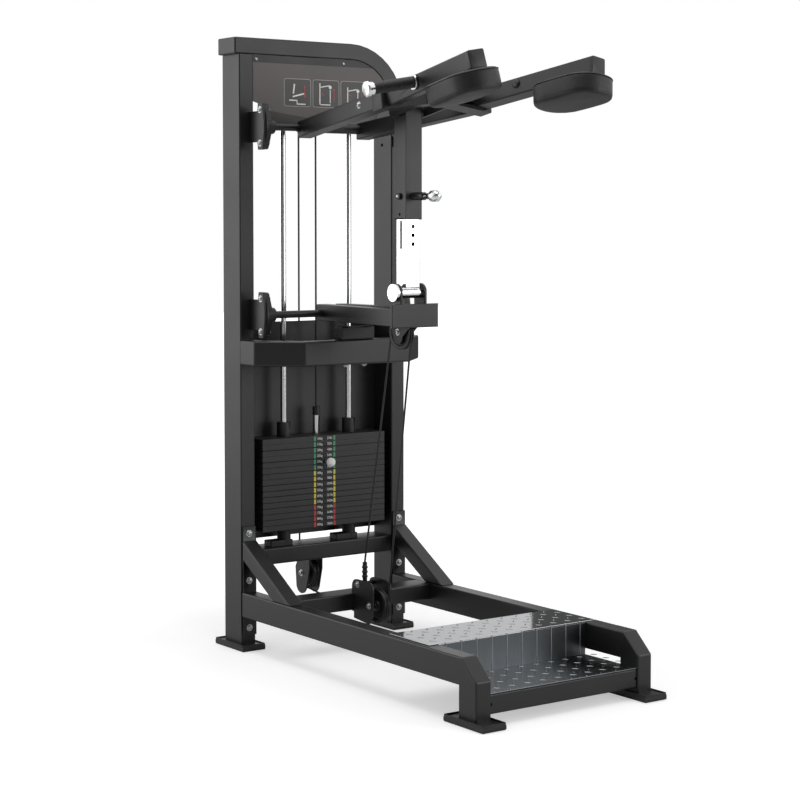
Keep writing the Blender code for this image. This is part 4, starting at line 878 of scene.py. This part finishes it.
# %% [markdown]
# ## Plugs for the open tube ends
# A tube's open end would fill with water and cut hands, so a moulded plug closes it, level with the rim and
# of the same black. The pad arms and the cross member have them. Each plug is a block with rounded corners
# and a slightly raised, rounded face.

# %% Plugs
def plug(width, height, corner, proud):
    """A tube plug that faces +Z, centred on the origin, its skirt going down."""
    cap = box_between((-width / 2, -height / 2, -0.012), (width / 2, height / 2, proud))
    bevelled(cap, lambda middle, run: abs(run.z) > 0.9, corner, 4)
    return bevelled(cap, lambda middle, run: middle.z > proud - 1e-4, min(0.0012, proud * 0.9), 2)


def in_pair(left_piece, name, coat, nodes=(), slot=None, angle=30):
    """Settles a piece of the yoke's left side and its copy on the right; nodes lack their side's name."""
    right_piece = copied(left_piece, flip=True)
    for side, piece in (("left_", left_piece), ("right_", right_piece)):
        settle(piece, side + name, coat, "yoke", [side + node for node in nodes], slot, angle)


quarter = math.radians(-90)
arm_plug = plug(0.0505, 0.0505, 0.0055, 0.0015)
arm_mouth = Matrix.Translation((-0.025, -0.0010, -0.025)) @ Matrix.Rotation(quarter, 4, "X")
arm_plug.data.transform(left_arm @ arm_mouth)
in_pair(arm_plug, "arm_plug", powder_coat, slot="frame_paint")
cross_plug = plug(0.047, 0.047, 0.005, 0.0012)
cross_turn = Matrix.Rotation(math.radians(-10), 4, "X") @ Matrix.Rotation(quarter, 4, "Y")
cross_plug.data.transform(Matrix.Translation((-0.1923, -0.0334, 1.6323)) @ cross_turn)
in_pair(cross_plug, "cross_plug", plug_plastic, slot="rubber")
print("plugs placed")

# %% [markdown]
# ## Hand grips
# A hand bar stands out from each pad arm's side, square to it, so it falls outwards as the pads do. A rubber
# sleeve with shallow ribs is pulled over it between a chrome collar and a big domed chrome cap with a
# screw's dimple in its middle. All of them are turned. Inside the arm the bar ends in a black button.

# %% Grips
GRIP_START = 0.002
GRIP_LENGTH = 0.1535
SLEEVE = 0.0163


def on_bar(outwards):
    """A point on the left hand bar's axis, so far outwards from the pad arm's side."""
    return left_arm @ Vector((outwards, -0.290, -0.0185))


start, run = on_bar(GRIP_START), on_bar(1) - on_bar(0)
ribs = []
position = 0.014
while position < GRIP_LENGTH - 0.034:
    ribs += [(position, SLEEVE), (position + 0.0060, SLEEVE), (position + 0.0068, SLEEVE - 0.0007),
             (position + 0.0082, SLEEVE - 0.0007)]
    position += 0.0090
sleeve_outline = [(0.0062, 0.0), (0.0062, SLEEVE - 0.001), (0.0072, SLEEVE)] + ribs
sleeve_outline += [(position, SLEEVE), (0.1300, SLEEVE), (0.1308, SLEEVE - 0.001), (0.1308, 0.0)]
cap_outline = [(0.1308, 0.0), (0.1308, 0.0172), (0.1314, 0.0178), (0.1420, 0.0178), (0.1425, 0.0200),
               (0.1435, 0.0212), (0.1450, 0.0215), (0.1490, 0.0215), (0.1515, 0.0203), (0.1530, 0.0175),
               (0.1535, 0.0120), (0.1535, 0.0026), (0.1522, 0.0018), (0.1522, 0.0)]
collar_outline = [(0.0, 0.0), (0.0, 0.0203), (0.0008, 0.0213), (0.0050, 0.0213), (0.0060, 0.0203),
                  (0.0060, 0.0)]
button_outline = [(0.0, 0.0), (0.0, 0.0125), (0.0025, 0.0125), (0.0045, 0.0110), (0.0055, 0.0070),
                  (0.0058, 0.0)]
rubber_sleeve = lathed(sleeve_outline, start, run)
bright_ends = joined([lathed(cap_outline, start, run), lathed(collar_outline, start, run)])
button = lathed(button_outline, on_bar(-0.0502), -run)
in_pair(rubber_sleeve, "grip_sleeve", black_rubber, ("grip",), angle=40)
in_pair(bright_ends, "grip_caps", chrome_plate, slot="chrome", angle=40)
in_pair(button, "arm_button", plug_plastic, slot="rubber", angle=40)
print("grip", round(1000 * GRIP_LENGTH), "mm long with", len(ribs) // 4, "ribs")

# %% [markdown]
# ## The step's checker plate
# A tread and a lower deck are cut from checker plate: sheet with raised lugs in two directions, which the
# rolling mill presses into it. The lugs stand on a square lattice with a pitch of 52 mm, one family at 45
# degrees and the other across it, half a pitch further. One lug is half a long, flat ball, modelled once
# and copied. The riser between the two plates has upright ribs, one for each column of lugs.

# %% Plates, lugs and ribs
rolled("foot_tread", tread_plate, radius=0.0012, steps=2, name="tread_plate")
deck = rolled("foot_deck", deck_plate, radius=0.0012, steps=2, name="deck_plate")
deck.data.materials.append(riser_plate)
for face in deck.data.polygons:
    if abs(face.normal.y) > 0.7:
        face.material_index = 1

PITCH = 0.0522
COLUMNS = range(-5, 5)
TREAD_TOP, DECK_TOP, RISER_FRONT = 0.1803, 0.0869, -0.415
LUG_SIZE = (0.0105, 0.0027, 0.0012)
bpy.ops.mesh.primitive_uv_sphere_add(segments=12, ring_count=8, radius=1, location=(0, 0, 0))
lug = bpy.context.object
lug.scale = LUG_SIZE
bake_place(lug)
bpy.ops.object.mode_set(mode="EDIT")
bpy.ops.mesh.select_all(action="SELECT")
bpy.ops.mesh.bisect(plane_co=(0, 0, -0.0003), plane_no=(0, 0, 1), clear_inner=True, use_fill=True)
done_editing()


def lug_at(spot, turn, size=(1, 1, 1)):
    """A copy of the lug, turned by degrees about the upright."""
    twin = copied(lug)
    turned = Matrix.Rotation(math.radians(turn), 4, "Z") @ Matrix.Diagonal((*size, 1))
    twin.data.transform(Matrix.Translation(spot) @ turned)
    return twin


columns = [0.0326 + PITCH * k for k in COLUMNS]
between = [x - PITCH / 2 for x in columns] + [columns[-1] + PITCH / 2]
lug_rows = {"tread_lugs": (TREAD_TOP, (-0.248, -0.301, -0.354), (-0.275, -0.328, -0.381)),
            "deck_lugs": (DECK_TOP, (-0.459, -0.511, -0.563, -0.615), (-0.433, -0.485, -0.537, -0.589))}
for name, (top, rows, other_rows) in lug_rows.items():
    lugs = [lug_at((x, y, top), 45) for y in rows for x in columns]
    lugs += [lug_at((x, y, top), -45) for y in other_rows for x in between]
    settle(joined(lugs), name, tread_plate, "tower", slot="tread_metal", angle=40)
    print(name, len(lugs))

ribs = []
for x in (0.0245 + PITCH * k for k in COLUMNS):
    y = RISER_FRONT + 0.0006
    ribs.append(bake_place(rod_between((x, y, DECK_TOP), (x, y, TREAD_TOP - 0.0015), 0.0016, 12)))
    ribs.append(lug_at((x, RISER_FRONT + 0.0036, TREAD_TOP), 90, (0.32, 0.9, 1)))
settle(joined(ribs), "riser_ribs", zinc_plate, "tower", slot="tread_metal", angle=40)
bpy.data.objects.remove(lug)
print(len(COLUMNS), "ribs")

# %% [markdown]
# ## Labels on the plates
# Each plate's weight is printed on a dark strip: kilograms left of its selector hole, pounds right of it. A
# bar at each end says light, medium or heavy in green, yellow or red. The numbers are text made into
# meshes. Labels on the plates that the pin lifts ride with the stack, the rest stay.

# %% Labels and numbers
STACK_LOW, PLATE_STEP, STACK_FRONT = 0.3511, 0.01784, 0.528
ROWS, SELECTED, LAST_LIGHT, LAST_MEDIUM = 16, 5, 6, 12
FIRST_KG, KG_STEP, FIRST_LB, LB_STEP = 10, 5, 21, 11
STRIP_LEFT, STRIP_WIDE, STRIP_HIGH = -0.0325, 0.0625, 0.0125
BAR_LEFTS, BAR_WIDE, BAR_HIGH = (-0.0405, 0.0315), 0.0072, 0.0140
KG_X, LB_X, DIGIT_SIZE = -0.0190, 0.0175, 0.0105
label_parts = {}
hole_spots = {"stack": [], "tower": []}


def row_height(row):
    """The height of a plate's middle, counted from the top plate as 1."""
    return STACK_LOW + (ROWS - row + 0.5) * PLATE_STEP


def flat(name, ink, body, x, z, width, height, lift=0.0003):
    """A thin printed patch on the stack's front."""
    patch = box_between((x, STACK_FRONT - lift, z - height / 2),
                        (x + width, STACK_FRONT + 0.0002, z + height / 2))
    label_parts.setdefault((body + name + ink, ink, body), []).append(patch)


def number(words, x, z, body):
    """A printed number on the stack's front, as a mesh."""
    bpy.ops.object.text_add(location=(0, 0, 0))
    text = bpy.context.object
    text.data.body = words
    text.data.size = DIGIT_SIZE
    text.data.align_x, text.data.align_y = "CENTER", "CENTER"
    text.data.resolution_u = 2
    text.data.extrude = 0.0001
    bpy.ops.object.convert(target="MESH")
    text = bpy.context.object
    upright = Matrix.Rotation(math.radians(90), 4, "X")
    text.data.transform(Matrix.Translation((x, STACK_FRONT - 0.0005, z)) @ upright)
    label_parts.setdefault((body + "_numbers_white", "white", body), []).append(text)


for row in range(1, ROWS + 1):
    z = row_height(row)
    body = "stack" if row <= SELECTED else "tower"
    ink = "green" if row <= LAST_LIGHT else "yellow" if row <= LAST_MEDIUM else "red"
    flat("_strips_ink_", "black", body, STRIP_LEFT, z, STRIP_WIDE, STRIP_HIGH)
    for x in BAR_LEFTS:
        flat("_bars_ink_", ink, body, x, z, BAR_WIDE, BAR_HIGH, 0.0004)
    number("%dkg" % (FIRST_KG + KG_STEP * (row - 1)), KG_X, z, body)
    number("%dlb" % (FIRST_LB + LB_STEP * (row - 1)), LB_X, z, body)
    hole_spots[body].append(((0, STACK_FRONT - 0.0003, z), FRONT))
for (name, ink, body), patches in label_parts.items():
    settle(joined(patches), name, inks[ink], body, slot="placard_card")

print("labels in", len(label_parts), "pieces")

# %% [markdown]
# Every plate is drilled for the selector pin. The rim of such a hole lies in its own shadow, so a thin ring
# of the black that hardly shines goes round each one.

# %% Rims of the selector holes
bpy.ops.mesh.primitive_torus_add(major_radius=0.0056, minor_radius=0.0007, major_segments=24,
                                 minor_segments=8, location=(0, 0, 0))
eyelet = bpy.context.object
for body, spots in hole_spots.items():
    set_of(eyelet, body + "_eyelets", hole_shade, body, spots, slot="rubber", angle=60)
bpy.data.objects.remove(eyelet)
print("rims of", sum(len(spots) for spots in hole_spots.values()), "holes")

# %% [markdown]
# ## The selector pin
# The pin that picks the weight ends in a white ball, which a hand finds at once. The ball is a thermoset
# plastic, screwed on a steel ferrule. Both are turned.

# %% Ball, ferrule and pin
PIN_Z = row_height(SELECTED)
BALL_Y, BALL = 0.493, 0.0140
pin_start = (0, BALL_Y - BALL, PIN_Z)
ball_outline = [(BALL - BALL * math.cos(math.radians(turn)), BALL * math.sin(math.radians(turn)))
                for turn in range(0, 155, 8)]
ball_outline.append((ball_outline[-1][0], 0.0))
ball = lathed(ball_outline, pin_start, (0, 1, 0))
ferrule_outline = [(0.026, 0.0), (0.026, 0.0062), (0.0275, 0.0068), (0.0330, 0.0068), (0.0345, 0.0060),
                   (0.0345, 0.0044), (0.120, 0.0044), (0.122, 0.0030), (0.122, 0.0)]
ferrule = lathed(ferrule_outline, pin_start, (0, 1, 0), steps=32)
settle(ball, "selector_ball", white_plastic, "selector_pin", ("selector_pin",), angle=60)
settle(ferrule, "selector_shank", chrome_plate, "selector_pin", slot="chrome", angle=40)
print("ball at height", round(PIN_Z, 4))

# %% [markdown]
# ## Pulleys
# The cable runs in the grooves of four nylon pulleys on ball bearings. A pulley is turned: rim, groove a
# little wider than the cable, a thin web and a thick hub. One half outline, mirrored, serves all four.

# %% Four pulleys and their bearings
GROOVE, RIM = 0.0458, 0.0517
half_pulley = [(0.0020, 0.0463), (0.0036, 0.0480), (0.0062, RIM), (0.0080, RIM), (0.0088, 0.0508),
               (0.0088, 0.0425), (0.0080, 0.0410), (0.0045, 0.0390), (0.0050, 0.0175), (0.0080, 0.0160),
               (0.0088, 0.0145)]
half_bearing = [(0.0086, 0.0145), (0.0090, 0.0138), (0.0090, 0.0075), (0.0086, 0.0066)]
pulley_outline = [(-x, r) for x, r in reversed(half_pulley)] + [(0.0, GROOVE)] + half_pulley
bearing_outline = [(-x, r) for x, r in reversed(half_bearing)] + half_bearing
PULLEYS = {"base_pulley": (0.240, 0.147), "rear_pulley": (0.626, 0.1945), "top_pulley": (0.626, 1.720),
           "lever_pulley": (0.118, 0.9765)}
AXLE_HALF = 0.0146
for name, (y, z) in PULLEYS.items():
    wheel = lathed(pulley_outline, (0, y, z), (1, 0, 0), ring=True)
    race = lathed(bearing_outline, (0, y, z), (1, 0, 0), steps=32, ring=True)
    settle(wheel, name + "_wheel", plug_plastic, name, (name,), angle=35)
    settle(race, name + "_race", zinc_plate, name, slot="chrome", angle=35)
axle_spots = [((side * AXLE_HALF, *PULLEYS["lever_pulley"]), (side, 0, 0)) for side in (-1, 1)]
set_of(screw, "lever_pulley_screws", zinc_plate, "lower_lever", axle_spots)
yoke_spots = [((side * 0.1795, 0.0754, 1.6292), (side, 0.12, 0)) for side in (-1, 1)]
set_of(screw, "yoke_screws", zinc_plate, "yoke", yoke_spots)
print("pulleys of", round(2000 * RIM), "mm")


# %% [markdown]
# ## The placard
# Under the beam hangs a painted steel sheet with a printed film on it. The film starts below the screws and
# is a warm grey. Below a slanted line in its lower corner it is drawn darker: a painted shadow of the yoke.
# One material draws the film, its painted shadow and the band above it from the height and the place across.

# %% The printed sheet
BAND_LOW = 1.777
SHADOW_LINE = 1.6077
SHADOW_SLOPE = -0.132

placard_film = bpy.data.materials.new("printed_film_and_painted_shadow")
tree = empty_tree(placard_film)
place = add_node(tree, "TexCoord").outputs["Object"]
parts = add_node(tree, "SeparateXYZ", {}, {0: place})
mottle = add_node(tree, "TexNoise", {"Scale": 7.0, "Detail": 3.0}, {"Vector": place})
warm = blend(tree, mottle.outputs["Fac"], "#4e4946", "#5c5755")
# painted shadow: below a slanted line in the lower corner the film is drawn darker, as the yoke's shadow on
# it
slanted = add_node(tree, "Math", {"operation": "MULTIPLY_ADD", 1: -SHADOW_SLOPE},
                   {0: parts.outputs["X"], 2: parts.outputs["Z"]})
in_painted_shadow = add_node(tree, "Math", {"operation": "LESS_THAN", 1: SHADOW_LINE}, {0: slanted.outputs[0]})
with_painted_shadow = blend(tree, in_painted_shadow.outputs[0], second="#2c2725", under=warm)
in_band = add_node(tree, "Math", {"operation": "GREATER_THAN", 1: BAND_LOW}, {0: parts.outputs["Z"]})
coloured = blend(tree, in_band.outputs[0], second="#151515", under=with_painted_shadow)
shine = add_node(tree, "MapRange", {"To Min": 0.36, "To Max": 0.50}, {"Value": mottle.outputs["Fac"]})
shader = add_node(tree, "BsdfPrincipled", {},
                  {"Base Color": coloured, "Roughness": shine.outputs[0]})
add_node(tree, "OutputMaterial", {}, {"Surface": shader.outputs[0]})
sheet = rolled("placard", placard_film, radius=0.0, name="placard_sheet")
widened(sheet, 0.0015)
print("placard", len(sheet.data.polygons), "faces")

# %% [markdown]
# The film shows three framed pictures of how to use the machine. Ours are plain signs of its own moving
# parts: the step with an arrow for the heels, and the post, lever and pad, high and low. The ink lies on
# the sheet as very thin bars and discs, kept apart by colour. A disc with three corners is an arrow's head.

# %% Frames and signs
FRAME_LOW, FRAME_HIGH, FRAME_WIDE = 1.649, 1.734, 0.097
signs = {}


def keep(ink, piece, x=0, y=PLACARD_FACE, z=0, turn=0):
    """Puts a piece of ink on the sheet, turned by degrees in its plane, and notes it by its colour."""
    piece.data.transform(Matrix.Translation((x, y, z)) @ Matrix.Rotation(math.radians(turn), 4, "Y"))
    signs.setdefault(ink, []).append(piece)


def ink_bar(ink, x, z, width, height, turn=0):
    """A bar of ink round (x, z)."""
    bar = box_between((-width / 2, -0.0005, -height / 2), (width / 2, 0.0, height / 2))
    keep(ink, bar, x, z=z, turn=turn)


def ink_disc(ink, x, z, radius, corners=24, turn=0):
    """A disc of ink, or with three corners an arrow's head that points up before its turn."""
    bpy.ops.mesh.primitive_cylinder_add(vertices=corners, radius=radius, depth=0.0006, location=(0, 0, 0),
                                        rotation=(math.radians(90), 0, 0))
    keep(ink, bake_place(bpy.context.object), x, PLACARD_FACE - 0.0002, z, turn)


def arrow(x, low, high, head, middle, width, length):
    """A red bar with a head at each end."""
    ink_bar("red", x, middle, width, length)
    ink_disc("red", x, high, head, 3)
    ink_disc("red", x, low, head, 3, 180)


for x in (-0.1455, -0.0415, 0.0615):
    for ink, inset, lift in (("pale", 0.0, 0.0002), ("field", 0.0020, 0.0003)):
        patch = box_between((x + inset, -lift, FRAME_LOW + inset),
                            (x + FRAME_WIDE - inset, 0.0002, FRAME_HIGH - inset))
        keep(ink, bevelled(patch, lambda middle, run: abs(run.y) > 0.9, 0.008 - inset, 5))
# the step, a sole on it, and an arrow for the heel's way down and up
for x, z, width, height, turn in ((-0.112, 1.668, 0.030, 0.0035, 0), (-0.0985, 1.6625, 0.0035, 0.014, 0),
                                  (-0.083, 1.657, 0.030, 0.0035, 0), (-0.094, 1.684, 0.042, 0.0045, -14),
                                  (-0.110, 1.703, 0.0050, 0.030, 8)):
    ink_bar("white", x, z, width, height, turn)
arrow(-0.071, 1.681, 1.710, 0.0045, 1.695, 0.0022, 0.024)
# the post, the lever and the pad, once high and once low
for left, rise in ((-0.0415, 0.0), (0.0615, -0.008)):
    ink_bar("white", left + 0.026, 1.690 + rise / 2, 0.0035, 0.066 + rise)
    ink_bar("white", left + 0.045, 1.658, 0.040, 0.0030)
    ink_bar("white", left + 0.044, 1.714 + rise, 0.036, 0.0030, -10)
    ink_disc("white", left + 0.064, 1.712 + rise, 0.0055)
    ink_bar("white", left + 0.064, 1.684, 0.0030, 0.040 + rise)
    arrow(left + 0.078, 1.676, 1.704, 0.0042, 1.690, 0.0020, 0.022)
    ink_bar("red", left + 0.037, 1.690, 0.012, 0.0020, 40)
for ink, pieces in signs.items():
    settle(joined(pieces), "placard_" + ink, inks[ink], "tower", slot="placard_card")
print("signs in", sorted(signs))

# %% [markdown]
# ## Small things that a buyer would touch
# The cable ends in a crimped terminal with three swaged rings. Each guide rod stands in a clamp block on the
# cross tube. Every foot sits in a moulded rubber tray whose lip stands up round the steel plate: a block
# with its top face inset and pushed down. The front bar has a vent hole at each end, where the weld stops,
# drawn as a disc of painted shade.

# %% Terminal rings, clamp blocks, foot trays and vents
def small(piece, name, coat, body="tower", **more):
    """Settles a small turned or moulded piece."""
    settle(piece, name, coat, body, slot="rubber", angle=40, **more)


def drilled(spot, way, radius, depth=0.0006):
    """A dark disc of painted shade that reads as a drilled hole."""
    return lathed([(0.0, 0.0), (0.0, radius), (depth, radius), (depth, 0.0)], spot, way, steps=24)


RING_HEIGHTS, TERMINAL_Y = (0.224, 0.238, 0.252), 0.3094
CLAMP_SPANS, CLAMP_TOP = ((-0.180, -0.1), (0.062, 0.142)), 0.318
ring_outline = [(0.0, 0.0066), (0.0, 0.0078), (0.0012, 0.0090), (0.0048, 0.0090), (0.0060, 0.0078),
                (0.0060, 0.0066)]
rings = [lathed(ring_outline, (0, TERMINAL_Y, z), UP, steps=32, ring=True) for z in RING_HEIGHTS]
small(joined(rings), "terminal_rings", plug_plastic)

blocks = [bevelled(box_between((low, 0.556, 0.3008), (high, 0.598, CLAMP_TOP)),
                   lambda middle, run: middle.z > CLAMP_TOP - 0.001 or abs(run.z) > 0.9, 0.003, 3)
          for low, high in CLAMP_SPANS]
small(joined(blocks), "rod_clamps", black_rubber, flats=True)

FOOT_TOP, LIP_HEIGHT, LIP_WALL = 0.0166, 0.0035, 0.0032
trays = []
for node in ("left_upright", "right_upright", "left_base_rail", "right_base_rail"):
    low = [v.co for v in frame["nodes"][node].data.vertices if v.co.z < FOOT_TOP + 1e-4]
    xs, ys = [co.x for co in low], [co.y for co in low]
    tray = box_between((min(xs), min(ys), FOOT_TOP - 0.004), (max(xs), max(ys), FOOT_TOP + LIP_HEIGHT))
    bevelled(tray, lambda middle, run: abs(run.z) > 0.9, 0.004, 3)
    sunk(tray, lambda middle, normal: normal.z > 0.99, LIP_WALL, LIP_HEIGHT + 0.001)
    trays.append(tray)
small(joined(trays), "foot_trays", black_rubber)
vents = [drilled((side * 0.2505, -0.6262, 0.0573), FRONT, 0.0042, 0.0008) for side in (-1, 1)]
small(joined(vents), "bar_vents", hole_shade)

print(len(rings), "rings,", len(blocks), "clamps,", len(trays), "trays and", len(vents), "vents")

# %% [markdown]
# The post's sleeve has a black button with a screw on its left side and a small hole below it, the inner
# tube has a slot, and the right upright has one more hole. Where a hole isn't cut into the solid, a thin
# patch of painted shade, the black that hardly shines, stands for it.

# %% Post details and holes
SLEEVE_SIDE, POST_Y, SPACER_Z = 0.030, 0.086, 1.372
spacer_outline = [(0.0, 0.0), (0.0, 0.0095), (0.006, 0.0095), (0.0068, 0.0085), (0.0068, 0.0)]
spacer = lathed(spacer_outline, (-SLEEVE_SIDE, POST_Y, SPACER_Z), LEFT, steps=32)
small(spacer, "sleeve_spacer", plug_plastic, "outer_post")
screw_spots = [((-SLEEVE_SIDE - 0.0068, POST_Y, SPACER_Z), LEFT)]
set_of(small_screw, "sleeve_screw", chrome_plate, "outer_post", screw_spots)
slot_piece = box_between((-0.0252, POST_Y - 0.0046, 1.219), (-0.0246, POST_Y + 0.0046, 1.303))
bevelled(slot_piece, lambda middle, run: abs(run.x) > 0.9, 0.0044, 5)
small(slot_piece, "post_slot", hole_shade, "inner_post")
small(drilled((-SLEEVE_SIDE + 0.0001, POST_Y, 1.320), LEFT, 0.0040), "sleeve_hole", hole_shade, "outer_post")
small(drilled((0.2534, 0.5797, 1.5418), LEFT, 0.0050), "upright_hole", hole_shade)
print("post details placed")


# %% [markdown]
# ## Clearing up
# The screw, the nut and the small screw that every copy was made from are removed. The finished
# model has to fill the same box as the CAD solids.

# %% Removing the model screws
for model in (screw, nut, small_screw):
    bpy.data.objects.remove(model)
